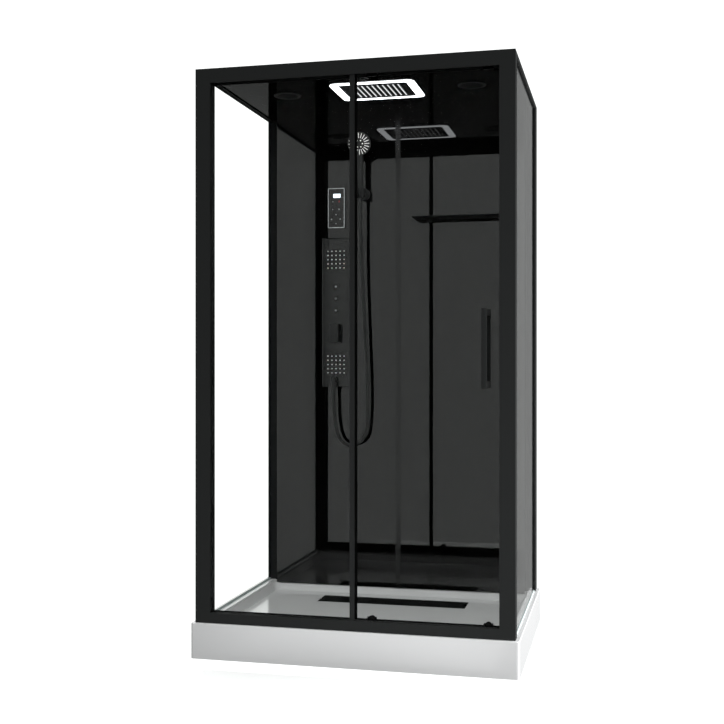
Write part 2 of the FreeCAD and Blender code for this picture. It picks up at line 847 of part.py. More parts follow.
def wall_pane(side):
    """Half of the black glass back wall; side is -1 left or 1 right."""
    edge = side * (frame_x - wall_side_gap)
    pane = box(side * wall_pane_gap, edge, wall_y, wall_back_y, basin_rim_z + wall_foot_lift,
               ceiling_z - glass_fit)
    if side > 0:
        return pane.cut(wall_hole(outlet_x, outlet_z, outlet_pipe_radius + outlet_pipe_fit))
    holes = [wall_hole(x, z, inlet_neck_radius + inlet_hole_fit) for x, z in inlet_places()]
    holes.append(wall_hole(column_x, lever_z, cartridge_radius + cartridge_hole))
    holes.append(wall_hole(control_x, control_z, cable_hole_radius))
    return pane.cut(holes)


def wall_joint_strip():
    """Flat strip over the joint between the two black panes."""
    half = wall_joint / 2
    return box(centre_profile_x - half, centre_profile_x + half, wall_y - wall_joint_thickness,
               wall_y, basin_rim_z + wall_foot_lift, ceiling_z - glass_fit)


def fixed_pane():
    """Fixed clear pane, left half of the front."""
    return box(-post_inner_x - glass_slot + glass_fit, centre_profile_x,
               fixed_glass_y, fixed_glass_y + glass_thickness,
               sill_top_z - glass_slot + glass_fit, rail_under_z + glass_slot)


def centre_profile():
    """Upright edge profile on the fixed pane."""
    x0 = centre_profile_x - centre_profile_width / 2
    x1 = centre_profile_x + centre_profile_width / 2
    y0 = fixed_glass_y - centre_profile_lip
    y1 = fixed_glass_y + glass_thickness + centre_profile_lip
    profile = box(x0, x1, y0, y1, sill_top_z, rail_under_z)
    slot = box(x0, centre_profile_x, fixed_glass_y, fixed_glass_y + glass_thickness,
               sill_top_z, rail_under_z)
    return profile.cut(slot)


# ---------------------------------------------------------------- sliding door
def door_low_z():
    """Bottom edge of the door pane."""
    return sill_top_z - sill_trough + door_foot_gap


def door_high_z():
    """Top edge of the door pane, inside the top rail."""
    return rail_under_z + door_rise


def roller_xs():
    """Left and right roller places along the door."""
    return (door_left_x + roller_inset_left, door_right_x - roller_inset_right)


def top_roller_z():
    """Height of the upper rollers' axes."""
    return door_high_z() + top_roller_rise


def bottom_roller_z():
    """Height of the lower rollers' axes."""
    return sill_top_z + bottom_roller_rise


def roller_y():
    """Plane of the rollers, behind the door pane."""
    return door_back_y + carrier_thickness + carrier_gap + roller_width / 2


def door_pane():
    """Sliding pane, drilled for the handle and the roller carriers."""
    pane = box(door_left_x, door_right_x, door_y, door_back_y, door_low_z(), door_high_z())
    return pane.cut([rod(V(handle_x, door_y, z), V(handle_x, door_back_y, z),
                         handle_bolt_radius + handle_bolt_fit) for z in handle_stud_heights()])


def door_edge_profile():
    """Profile with a brush on the door's leading edge."""
    x1 = door_left_x + door_edge_width
    y0 = door_y - door_edge_lip
    z0, z1 = sill_top_z + door_end_gap, rail_under_z + door_edge_lip
    profile = box(door_left_x - door_edge_lip, x1, y0, y0 + door_edge_depth, z0, z1)
    slot = box(door_left_x, x1, door_y, door_back_y, z0, z1)
    return profile.cut(slot)


def door_seal():
    """Soft magnetic seal on the door's closing edge."""
    lip = door_seal_lip
    x0 = door_right_x - door_seal_grip
    z0, z1 = sill_top_z + door_end_gap, rail_under_z - door_end_gap
    seal = box(x0, door_right_x + lip, door_y - lip, door_back_y + lip, z0, z1)
    slot = box(x0, door_right_x, door_y, door_back_y, z0, z1)
    return seal.cut(slot)


def handle_stud_heights():
    """Heights of the handle's two fixings."""
    return (handle_bottom + handle_stud_inset, handle_bottom + handle_length - handle_stud_inset)


def handle_bar(y0):
    """Flat pull bar with eased edges, its nearer face at y0."""
    half = handle_width / 2
    bar = box(handle_x - half, handle_x + half, y0, y0 + handle_thickness,
              handle_bottom, handle_bottom + handle_length)
    return bar.makeChamfer(handle_edge, bar.Edges)


def handle_bars():
    """Pull bars outside and inside the cabin."""
    return group([handle_bar(door_y - handle_reach_out - handle_thickness),
                  handle_bar(door_back_y + handle_reach_in)])


def handle_studs():
    """Square standoffs with the bolt through the pane, top and bottom."""
    studs = []
    half = handle_stud_width / 2
    tall = handle_stud_height / 2
    for z in handle_stud_heights():
        outer = box(handle_x - half, handle_x + half, door_y - handle_reach_out, door_y,
                    z - tall, z + tall)
        inner = box(handle_x - half, handle_x + half, door_back_y, door_back_y + handle_reach_in,
                    z - tall, z + tall)
        bolt = rod(V(handle_x, door_y, z), V(handle_x, door_back_y, z), handle_bolt_radius)
        studs.append(joined([outer, inner, bolt]))
    return group(studs)


def carriers():
    """Plates behind the pane that carry the four rollers on their pins."""
    plates = []
    half = carrier_width / 2
    y0 = door_back_y
    y1 = y0 + carrier_thickness
    pin_end = roller_y() + roller_width / 2 + pin_proud
    for x in roller_xs():
        for z, z0, z1 in ((top_roller_z(), door_high_z() - carrier_grip,
                           top_roller_z() + carrier_above_top),
                          (bottom_roller_z(), bottom_roller_z() - carrier_below_foot,
                           bottom_roller_z() + carrier_above_foot)):
            plate = box(x - half, x + half, y0, y1, z0, z1)
            pin = rod(V(x, y1, z), V(x, pin_end, z), roller_pin_radius)
            plates.append(joined([plate, pin]))
    return group(plates)


def roller(x, z):
    """Plastic wheel with a bore for its pin and a shallow groove in its rim."""
    y0 = roller_y() - roller_width / 2
    y1 = roller_y() + roller_width / 2
    wheel = rod(V(x, y0, z), V(x, y1, z), roller_radius)
    bore = rod(V(x, y0, z), V(x, y1, z), roller_pin_radius + roller_fit)
    groove = pipe(V(x, roller_y() - roller_groove, z), V(x, roller_y() + roller_groove, z),
                  roller_radius + cut_past, roller_radius - roller_groove)
    return wheel.cut([bore, groove])


# ---------------------------------------------------------------- ceiling
def ceiling_block(length, width, z0, z1, radius):
    """Rounded block centred on the ceiling's lamp."""
    return rounded_block(ceiling_centre_x - length / 2, ceiling_centre_x + length / 2,
                         ceiling_y - width / 2, ceiling_y + width / 2, z0, z1, radius)


def bezel_centre(side):
    """Middle of the speaker (-1) or the fan (1) at the ceiling's height."""
    return V(ceiling_centre_x + side * bezel_offset, ceiling_y, ceiling_z)


def roof_panel():
    """Gloss black roof with openings for the lamp, speaker and fan."""
    x1 = frame_x - side_rail_width + roof_ledge - glass_fit
    y0 = frame_inner_y + glass_fit
    y1 = back_y - rear_rail_depth - glass_fit
    roof = box(-x1, x1, y0, y1, ceiling_z, ceiling_z + roof_thickness)
    lamp = ceiling_block(lamp_length - 2 * lamp_rebate, lamp_width - 2 * lamp_rebate, ceiling_z,
                         ceiling_z + roof_thickness, lamp_corner - lamp_rebate)
    rounds = [rod(bezel_centre(side), bezel_centre(side) + V(0, 0, roof_thickness),
                  bezel_radius - bezel_rim) for side in (-1, 1)]
    posts = [box(side * (frame_x - rear_post_width - roof_post_gap), side * frame_x,
                 rear_post_y - roof_post_gap, back_y, ceiling_z, ceiling_z + roof_thickness)
             for side in (-1, 1)]
    return roof.cut([lamp] + rounds + posts)


def lamp_inner():
    """Length and width of the lamp ring's opening."""
    return lamp_length - 2 * lamp_side_band, lamp_width - 2 * lamp_front_band


def lamp_ring():
    """Opal diffuser ring round the rain head."""
    length, width = lamp_inner()
    low = ceiling_z - lamp_drop
    ring = ceiling_block(lamp_length, lamp_width, low, ceiling_z, lamp_corner)
    inset = lamp_rebate + glass_fit
    neck = ceiling_block(lamp_length - 2 * inset, lamp_width - 2 * inset, ceiling_z,
                         ceiling_z + lamp_thickness - lamp_drop, lamp_corner - inset)
    hole = ceiling_block(length, width, low, ceiling_z + lamp_thickness, lamp_inner_corner)
    return joined([ring, neck]).cut(hole)


def lamp_board():
    """Circuit board ring with the light diodes, above the diffuser."""
    length, width = lamp_inner()
    z0 = ceiling_z + lamp_thickness - lamp_drop
    z1 = z0 + board_thickness
    board = ceiling_block(lamp_length - 2 * board_inset, lamp_width - 2 * board_inset, z0, z1,
                          lamp_corner - board_inset)
    return board.cut(ceiling_block(length, width, z0, z1, lamp_inner_corner))


def rain_head():
    """Flat rain head: a shallow water box with slots for the nozzle strips."""
    length, width = lamp_inner()
    fit = rain_fit
    low = ceiling_z - lamp_drop + rain_set_back
    high = low + rain_thickness
    corner = lamp_inner_corner - fit
    head = ceiling_block(length - 2 * fit, width - 2 * fit, low, high, corner)
    skin = rain_skin
    head = head.cut(ceiling_block(length - 2 * fit - 2 * skin, width - 2 * fit - 2 * skin,
                                  low + skin, high - skin, corner - skin))
    inlet = V(ceiling_centre_x, ceiling_y, high)
    neck = rod(inlet - V(0, 0, skin), inlet + V(0, 0, rain_inlet_height), rain_inlet_radius)
    head = joined([head, neck])
    bore = rod(inlet - V(0, 0, skin), inlet + V(0, 0, rain_inlet_height), rain_inlet_radius - rain_inlet_wall)
    slots = [strip_block(place, low, low + skin) for place in strip_places()]
    return head.cut([bore] + slots)


def strip_places():
    """X places of the nozzle strips."""
    first = ceiling_centre_x + strip_shift - strip_pitch * (nozzle_strips - 1) / 2
    return [first + strip_pitch * number for number in range(nozzle_strips)]


def strip_block(x, z0, z1):
    """One strip's block at x."""
    half = strip_width / 2
    long_half = strip_length / 2
    return box(x - half, x + half, ceiling_y - long_half, ceiling_y + long_half, z0, z1)


def rain_nozzles():
    """Soft white nozzle strips pressed into the rain head's slots."""
    low = ceiling_z - lamp_drop + rain_set_back
    return group(strip_block(x, low - strip_drop, low + rain_skin) for x in strip_places())


def round_grille(side):
    """Round bezel with slots, below the speaker or the fan."""
    centre = bezel_centre(side)
    low = centre - V(0, 0, bezel_thickness)
    grille = rod(low, centre, bezel_radius)
    rim = bezel_radius - bezel_rim
    neck = rod(centre, centre + V(0, 0, roof_thickness), rim - glass_fit)
    grille = joined([grille, neck])
    grille = grille.cut(rod(low + V(0, 0, bezel_thickness), centre + V(0, 0, roof_thickness),
                            rim - duct_wall - glass_fit))
    slot_rim = rim - grille_margin
    pitch = 2 * slot_rim / grille_slots
    slots = []
    for number in range(grille_slots):
        y = (number + 0.5) * pitch - slot_rim
        half = math.sqrt(slot_rim ** 2 - y * y)
        slots.append(box(centre.x - half, centre.x + half, centre.y + y - pitch / 4,
                         centre.y + y + pitch / 4, low.z, centre.z))
    return grille.cut(slots)


def speaker_driver():
    """Loudspeaker above its grille: cone, basket and magnet."""
    base = bezel_centre(-1) + V(0, 0, roof_thickness)
    rim = bezel_radius
    basket = cone(base, base + V(0, 0, speaker_cone_depth), rim, speaker_magnet_radius)
    wall = speaker_wall
    bowl = cone(base, base + V(0, 0, speaker_cone_depth - wall), rim - wall,
                speaker_magnet_radius - wall)
    top = base + V(0, 0, speaker_cone_depth)
    magnet = rod(top, top + V(0, 0, speaker_magnet_height), speaker_magnet_radius)
    return joined([basket.cut(bowl), magnet])


def fan_housing():
    """Round duct of the fan with the motor bridge across its top."""
    base = bezel_centre(1) + V(0, 0, roof_thickness)
    top = base + V(0, 0, fan_housing_height)
    bore = fan_radius + fan_clearance
    duct = pipe(base, top, bore + duct_wall, bore)
    flange = pipe(base, base + V(0, 0, fan_flange_thickness), bezel_radius + fan_flange, bore)
    bridge_z = base.z + fan_lift + fan_height + fan_motor_gap
    bridge_top = bridge_z + fan_arm_thickness
    reach = fan_radius + fan_arm_bite
    half = fan_arm_half
    arms = [box(base.x - reach, base.x + reach, base.y - half, base.y + half, bridge_z, bridge_top),
            box(base.x - half, base.x + half, base.y - reach, base.y + reach, bridge_z, bridge_top)]
    motor = rod(V(base.x, base.y, bridge_z), top - V(0, 0, fan_motor_drop), fan_hub_radius)
    shaft = rod(base + V(0, 0, fan_lift + fan_shaft_foot), V(base.x, base.y, bridge_z),
                fan_shaft_radius)
    return joined([duct, flange] + arms + [motor, shaft])


def fan_rotor():
    """Fan wheel: hub and leaning blades on the motor's shaft."""
    base = bezel_centre(1) + V(0, 0, roof_thickness + fan_lift)
    hub = rod(base, base + V(0, 0, fan_height), fan_hub_radius)
    blades = []
    for number in range(fan_blades):
        blade = box(base.x + fan_hub_radius - blade_half, base.x + fan_radius,
                    base.y - blade_half, base.y + blade_half,
                    base.z + blade_margin, base.z + fan_height - blade_margin)
        blade.rotate(V(base.x, base.y, base.z + fan_height / 2), X_AXIS, blade_lean)
        blade.rotate(base, Z_AXIS, 360.0 * number / fan_blades)
        blades.append(blade)
    shaft_bore = rod(base + V(0, 0, fan_shaft_foot - spindle_fit), base + V(0, 0, fan_height),
                     fan_shaft_radius + roller_fit)
    return joined([hub] + blades).cut(shaft_bore)


# ---------------------------------------------------------------- shower column
def front_bore(x, z, radius):
    """Round cutter through the column's front face."""
    return rod(V(x, column_y, z), V(x, column_y + column_face, z), radius)


def jet_grid(middle_z):
    """Places of one square field of body jets, as (x, z)."""
    first = -(jet_rows - 1) / 2
    return [(column_x + (first + i) * jet_pitch, middle_z + (first + j) * jet_pitch)
            for i in range(jet_rows) for j in range(jet_rows)]


def column_body():
    """Column housing: a shallow box open towards the wall."""
    half = column_width / 2
    skin = column_skin
    top = column_bottom + column_height
    body = box(column_x - half, column_x + half, column_y, wall_y, column_bottom, top)
    edges = [edge for edge in body.Edges if edge.BoundBox.YMax < column_y + 0.01]
    body = body.makeFillet(column_corner, edges)
    body = body.cut(box(column_x - half + skin, column_x + half - skin, column_y + column_face,
                        wall_y, column_bottom + skin, top - skin))
    holes = [front_bore(x, z, jet_radius)
             for middle in (upper_jets_z, lower_jets_z) for x, z in jet_grid(middle)]
    holes += [front_bore(column_x, z, button_radius + button_fit) for z in button_heights]
    holes.append(front_bore(column_x, lever_z, spindle_radius + spindle_fit))
    holes.append(front_bore(elbow_x, elbow_z, elbow_radius + button_fit))
    return body.cut(holes)


def body_jets(middle_z):
    """Five by five soft nozzles on one backing plate."""
    back = column_y + column_face
    pins = [rod(V(x, column_y - jet_stand, z), V(x, back, z), jet_radius)
            for x, z in jet_grid(middle_z)]
    half = jet_pitch * (jet_rows - 1) / 2 + jet_radius + jet_plate_margin
    plate = box(column_x - half, column_x + half, back, back + jet_plate,
                middle_z - half, middle_z + half)
    return joined([plate] + pins)


def block_y():
    """Front and back of the valve block behind the column's skin."""
    return wall_y - block_wall_gap - block_depth, wall_y - block_wall_gap


def push_button(z):
    """Round push-button whose stem slides in the valve block."""
    tip = column_y - button_stand
    shoulder = column_y + column_face
    cap = rod(V(column_x, tip, z), V(column_x, shoulder, z), button_radius)
    cap = cap.makeChamfer(button_edge, [edge for edge in cap.Edges
                                        if edge.BoundBox.YMax < tip + 0.01])
    stem_end = block_y()[0] + button_guide
    stem = rod(V(column_x, shoulder, z), V(column_x, stem_end, z), stem_radius)
    return joined([cap, stem])


def valve_block():
    """Brass block: two inlets, a seat for the cartridge and guides for the buttons."""
    y0, y1 = block_y()
    inlet_z = inlet_places()[0][1]
    arm = inlet_radius + block_wall
    stem_half = stem_radius + button_fit + block_wall
    seat_half = cartridge_radius + block_wall
    riser = box(column_x - stem_half, column_x + stem_half, y0, y1, inlet_z - arm,
                max(button_heights) + stem_half)
    seat_block = box(column_x - seat_half, column_x + seat_half, y0, y1,
                     lever_z - seat_half, lever_z + seat_half)
    cross = box(column_x - inlet_spacing / 2 - arm, column_x + inlet_spacing / 2 + arm,
                y0, y1, inlet_z - arm, inlet_z + arm)
    tail_end = wall_back_y + inlet_tail
    tails = [rod(V(x, wall_back_y, z), V(x, tail_end, z), inlet_radius)
             for x, z in inlet_places()]
    necks = [rod(V(x, y1, z), V(x, wall_back_y, z), inlet_neck_radius) for x, z in inlet_places()]
    body = joined([riser, seat_block, cross] + tails + necks)
    guide_end = y0 + button_guide + button_travel + button_fit
    guides = [rod(V(column_x, y0, z), V(column_x, guide_end, z), stem_radius + button_fit)
              for z in button_heights]
    seat = rod(V(column_x, y0, lever_z), V(column_x, y1, lever_z), cartridge_radius)
    bores = [rod(V(x, y1 - inlet_bore, z), V(x, tail_end, z), inlet_bore)
             for x, z in inlet_places()]
    outlet = rod(V(elbow_x, y0, elbow_z), V(elbow_x, y1, elbow_z), elbow_radius)
    outlet_block = box(elbow_x - elbow_radius - block_wall, elbow_x + elbow_radius + block_wall,
                       y0, y1, elbow_z - elbow_radius - block_wall, inlet_z)
    return joined([body, outlet_block]).cut(guides + [seat, outlet] + bores)


def mixer_cartridge():
    """Ceramic cartridge with its spindle, seated in the valve block."""
    y0, y1 = block_y()
    barrel = rod(V(column_x, y0, lever_z), V(column_x, y1, lever_z), cartridge_radius)
    spindle = rod(V(column_x, column_y - hub_height / 2, lever_z), V(column_x, y0, lever_z),
                  spindle_radius)
    return joined([barrel, spindle])


def mixer_lever():
    """Upright block lever on its round hub."""
    hub_back = column_y - glass_fit
    hub_front = hub_back - hub_height
    front = hub_front - lever_depth
    hub = rod(V(column_x, hub_front, lever_z), V(column_x, hub_back, lever_z), hub_radius)
    half = lever_width / 2
    grip = box(column_x - half, column_x + half, front, hub_front,
               lever_z - lever_length / 2, lever_z + lever_length / 2)
    grip = grip.makeFillet(lever_corner, [edge for edge in grip.Edges
                                          if abs(edge.tangentAt(edge.FirstParameter).y) > 0.9])
    grip = grip.makeFillet(lever_edge, [edge for edge in grip.Edges
                                        if edge.BoundBox.YMax < front + 0.01])
    lever = joined([hub, grip])
    return lever.cut(rod(V(column_x, column_y - hub_height / 2 - spindle_end_gap, lever_z),
                         V(column_x, column_y, lever_z), spindle_radius + spindle_fit))


def hose_elbow():
    """Outlet elbow with its wall flange, and the union nut that holds the hose."""
    reach = V(elbow_x, column_y - elbow_reach, elbow_z)
    flange = rod(V(elbow_x, column_y - elbow_flange_depth, elbow_z), V(elbow_x, column_y, elbow_z),
                 elbow_flange)
    arm = rod(V(elbow_x, block_y()[1], elbow_z), reach, elbow_radius)
    knee = Part.makeSphere(elbow_radius, reach)
    spigot_end = reach - V(0, 0, elbow_drop)
    spigot = rod(reach, spigot_end, elbow_radius)
    elbow = joined([flange, arm, knee, spigot])
    low = hose_start()
    top = low + V(0, 0, nut_length)
    nut = cone(low, top, nut_low_radius, nut_high_radius)
    return group([elbow, nut.cut(rod(spigot_end, top, elbow_radius))])


# ---------------------------------------------------------------- hose
def hose_start():
    """Foot of the nut under the elbow."""
    return V(elbow_x, column_y - elbow_reach, elbow_z - elbow_drop + nut_overlap - nut_length)


def hose_end():
    """Foot of the nut under the handset."""
    return V(handset_x, handset_y, nut_low_z)


def hose_points():
    """Corners of the hose's route, chosen by hand, from the elbow's nut to the handset's."""
    start, end = hose_start(), hose_end()
    loop = [V(0, 0, -45.0), V(1.0, 3.5, -103.0), V(8.5, 5.5, -162.0), V(20.3, 5.5, -206.0),
            V(43.8, 4.0, -229.5), V(76.0, 2.0, -238.0), V(108.2, 2.0, -229.5),
            V(131.7, 3.5, -206.0), V(143.5, 5.5, -162.0), V(148.0, 7.0, -105.0),
            V(149.5, 7.5, -32.0)]
    rise = [V(24.0, 30.5, -758.0), V(19.0, 28.0, -638.0), V(12.0, 23.5, -498.0),
            V(5.5, 16.5, -348.0), V(1.5, 7.5, -198.0), V(0, 0, -90.0)]
    return [start] + [start + step for step in loop] + [end + step for step in rise] + [end]


def route_wire(points):
    """Straight runs joined by tangent arcs, with each arc's radius printed."""
    edges = []
    here = points[0]
    radii = []
    for number in range(1, len(points) - 1):
        before = points[number] - points[number - 1]
        after = points[number + 1] - points[number]
        turn = before.getAngle(after)
        reach = 0.45 * min(before.Length, after.Length)
        radii.append(reach / math.tan(turn / 2))
        into = V(before).normalize()
        out = V(after).normalize()
        first = points[number] - into * reach
        last = points[number] + out * reach
        bisector = V(out - into).normalize()
        centre = points[number] + bisector * (radii[-1] / math.cos(turn / 2))
        middle = centre - bisector * radii[-1]
        edges.append(Part.LineSegment(here, first).toShape())
        edges.append(Part.Arc(first, middle, last).toShape())
        here = last
    edges.append(Part.LineSegment(here, points[-1]).toShape())
    print("route radii", " ".join("%.0f" % radius for radius in radii))
    return Part.Wire(edges)


def tube_along(points, radius):
    """Round tube along a route, with its volume set against its length."""
    path = route_wire(points)
    circle = Part.Wire(Part.makeCircle(radius, points[0], points[1] - points[0]))
    tube = path.makePipeShell([circle], True, False)
    expected = math.pi * radius ** 2 * path.Length
    print("route length %.0f, volume ratio %.4f" % (path.Length, tube.Volume / expected))
    return tube


def hose():
    """Shower hose hanging in a loop between the elbow and the handset."""
    return tube_along(hose_points(), hose_radius)


# ---------------------------------------------------------------- handset
def nut_radius_at(z):
    """Radius of the handset nut's cone at a height."""
    slope = (nut_high_radius - nut_low_radius) / nut_length
    return nut_low_radius + (z - nut_low_z) * slope


def hose_nut():
    """Conical nut on the hose, which also seats in the wall holder."""
    low = hose_end()
    top = low + V(0, 0, nut_length)
    nut = cone(low, top, nut_low_radius, nut_high_radius)
    return nut.cut(rod(top - V(0, 0, nut_overlap), top, spigot_radius))


def head_frame():
    """Centre of the head's face and the direction that it looks in."""
    tilt = math.radians(head_tilt)
    look = V(0, -math.cos(tilt), -math.sin(tilt))
    return V(handset_x, handset_y - head_forward, head_centre_z), look


def handset_body():
    """Grip, neck and crowned head shell of the hand shower."""
    centre, look = head_frame()
    nut_top = hose_end() + V(0, 0, nut_length)
    spigot = rod(nut_top - V(0, 0, nut_overlap), nut_top, spigot_radius)
    grip_top = nut_top + V(0, 0, grip_length)
    grip = cone(nut_top, grip_top, grip_foot_radius, grip_top_radius)
    crown_foot = centre - look * (head_thickness - head_crown)
    back = centre - look * head_thickness
    shell = rod(crown_foot, centre, head_radius)
    crown = cone(back, crown_foot, head_radius - 2 * head_crown, head_radius)
    knee = Part.makeSphere(grip_top_radius, grip_top)
    neck = rod(grip_top, crown_foot, grip_top_radius - neck_step)
    body = joined([shell, crown, neck, knee, grip, spigot])
    return body.cut(rod(centre - look * face_thickness, centre + look * cut_past,
                        head_radius - face_inset))


def face_point(radius, angle):
    """Point on the head's face at a radius and an angle about its middle."""
    centre, look = head_frame()
    up = look.cross(X_AXIS)
    return centre + X_AXIS * (radius * math.cos(angle)) + up * (radius * math.sin(angle))


def handset_face():
    """Round spray plate with its white soft nozzles: six dots and a ring of rays."""
    centre, look = head_frame()
    radius = head_radius - face_inset - face_fit
    pieces = [rod(centre - look * face_thickness, centre, radius)]
    for number in range(dot_count):
        foot = face_point(dot_ring, 2 * math.pi * number / dot_count)
        pieces.append(rod(foot, foot + look * nozzle_stand, dot_radius))
    up = look.cross(X_AXIS)
    for number in range(ray_count):
        angle = 2 * math.pi * number / ray_count
        inner = face_point(ray_inner, angle)
        outer = face_point(ray_outer, angle)
        side = (up * math.cos(angle) - X_AXIS * math.sin(angle)) * (ray_width / 2)
        corners = [inner - side, outer - side, outer + side, inner + side, inner - side]
        pieces.append(Part.Face(Part.makePolygon(corners)).extrude(look * nozzle_stand))
    return group(pieces)


def handset_holder():
    """Wall rosette, arm and open socket in which the hose nut's cone rests."""
    wall = V(handset_x, wall_y, socket_z)
    front = wall - V(0, rosette_thickness, 0)
    rosette = rod(front, wall, rosette_radius)
    rosette = rosette.makeChamfer(rosette_edge, [edge for edge in rosette.Edges
                                                 if edge.BoundBox.YMax < front.y + 0.01])
    arm = rod(front, V(handset_x, handset_y + nut_high_radius, socket_z), arm_radius)
    low = V(handset_x, handset_y, socket_z - socket_height / 2)
    high = V(handset_x, handset_y, socket_z + socket_height / 2)
    holder = joined([rosette, arm, rod(low, high, socket_radius)])
    bore = cone(low, high, nut_radius_at(low.z) + socket_fit, nut_radius_at(high.z) + socket_fit)
    mouth = box(handset_x - socket_mouth / 2, handset_x + socket_mouth / 2,
                handset_y - socket_radius - cut_past, handset_y, low.z, high.z)
    return holder.cut([bore, mouth])


# ---------------------------------------------------------------- wall control panel
def control_front_y():
    """Front face of the control panel."""
    return wall_y - control_depth


def control_housing():
    """Black glass-fronted control box."""
    half = control_width / 2 - control_bezel
    tall = control_height / 2 - control_bezel
    body = box(control_x - half, control_x + half, control_front_y() + control_sink, wall_y,
               control_z - tall, control_z + tall)
    return body.cut(control_display())


def control_display():
    """Lit display window, flush in the front of the control box."""
    y0 = control_front_y() + control_sink
    middle_x = control_x + display_offset
    middle_z = control_z + control_height / 2 - display_below_top
    return box(middle_x - display_width / 2, middle_x + display_width / 2,
               y0, y0 + display_thickness,
               middle_z - display_height / 2, middle_z + display_height / 2)


def control_frame():
    """Polished frame round the control box."""
    half = control_width / 2
    tall = control_height / 2
    bezel = control_bezel
    outer = box(control_x - half, control_x + half, control_front_y(), wall_y,
                control_z - tall, control_z + tall)
    edges = [edge for edge in outer.Edges if abs(edge.tangentAt(edge.FirstParameter).y) > 0.9]
    outer = outer.makeFillet(control_corner, edges)
    return outer.cut(box(control_x - half + bezel, control_x + half - bezel, control_front_y(),
                         wall_y, control_z - tall + bezel, control_z + tall - bezel))


# ---------------------------------------------------------------- shelf
def shelf():
    """Black shelf plate with an eased front edge."""
    front = wall_y - shelf_depth
    plate = box(shelf_x, shelf_x + shelf_length, front, wall_y, shelf_z, shelf_z + shelf_thickness)
    return plate.makeChamfer(shelf_edge, [edge for edge in plate.Edges
                                          if edge.BoundBox.YMax < front + 0.01])


def shelf_brackets():
    """Two brackets under the shelf's back edge."""
    toe_y = wall_y - bracket_reach
    root_y = wall_y - bracket_plate
    outline = ((wall_y, shelf_z), (toe_y, shelf_z), (toe_y, shelf_z - bracket_toe),
               (root_y, shelf_z - bracket_root), (root_y, shelf_z - bracket_drop),
               (wall_y, shelf_z - bracket_drop))
    half = bracket_width / 2
    return group(along_x(outline, x - half, x + half)
                 for x in (shelf_x + bracket_inset, shelf_x + shelf_length - bracket_inset))


# ---------------------------------------------------------------- steam
def generator_y():
    """Front and back of the steam generator's case."""
    y0 = crossbar_y() + crossbar_depth
    return y0, y0 + generator_depth


def spout_end():
    """Lower end of the generator's steam spout."""
    y0, y1 = generator_y()
    return V(generator_x + generator_width / 2 - spout_inset, (y0 + y1) / 2,
             generator_z - spout_length)


def outlet_knee():
    """Corner of the elbow behind the steam outlet."""
    return V(outlet_x, wall_back_y + outlet_knee_gap, outlet_z)


def steam_generator():
    """Slim steam generator hung on the bars, and its hose down to the outlet."""
    y0, y1 = generator_y()
    half = generator_width / 2
    case = box(generator_x - half, generator_x + half, y0, y1, generator_z,
               generator_z + generator_height)
    edges = [edge for edge in case.Edges if edge.BoundBox.YMin > y1 - 0.01]
    case = case.makeFillet(generator_corner, edges)
    low = spout_end()
    spout = rod(low, low + V(0, 0, spout_length), outlet_pipe_radius)
    end = outlet_knee() + V(0, 0, outlet_rise)
    route = [low, low + V(0, 0, -80.0), low + V(14.0, -2.8, -182.0), low + V(50.0, -8.8, -292.0),
             end + V(-19.0, 5.0, 134.0), end + V(0, 0, 50.0), end]
    return group([joined([case, spout]), tube_along(route, outlet_pipe_radius)])


def steam_outlet():
    """Round steam outlet low on the back wall, its slot facing down, and the elbow behind."""
    face = V(outlet_x, wall_y - outlet_depth, outlet_z)
    cap = rod(face, V(outlet_x, wall_y, outlet_z), outlet_radius)
    cap = cap.makeFillet(outlet_edge, [edge for edge in cap.Edges
                                       if edge.BoundBox.YMax < face.y + 0.01])
    cap = cap.cut(box(outlet_x - outlet_slot / 2, outlet_x + outlet_slot / 2,
                      face.y + outlet_wall, wall_y - outlet_wall,
                      outlet_z - outlet_radius, outlet_z - outlet_pipe_radius))
    knee = outlet_knee()
    tail = rod(V(outlet_x, wall_y, outlet_z), knee, outlet_pipe_radius)
    rise = rod(knee, knee + V(0, 0, outlet_rise), outlet_pipe_radius)
    return joined([cap, tail, Part.makeSphere(outlet_pipe_radius, knee), rise])


# ---------------------------------------------------------------- fasteners
def frame_screws():
    """Screw heads that join the rear rails to the posts."""
    return group(rear_screws(-1) + rear_screws(1))


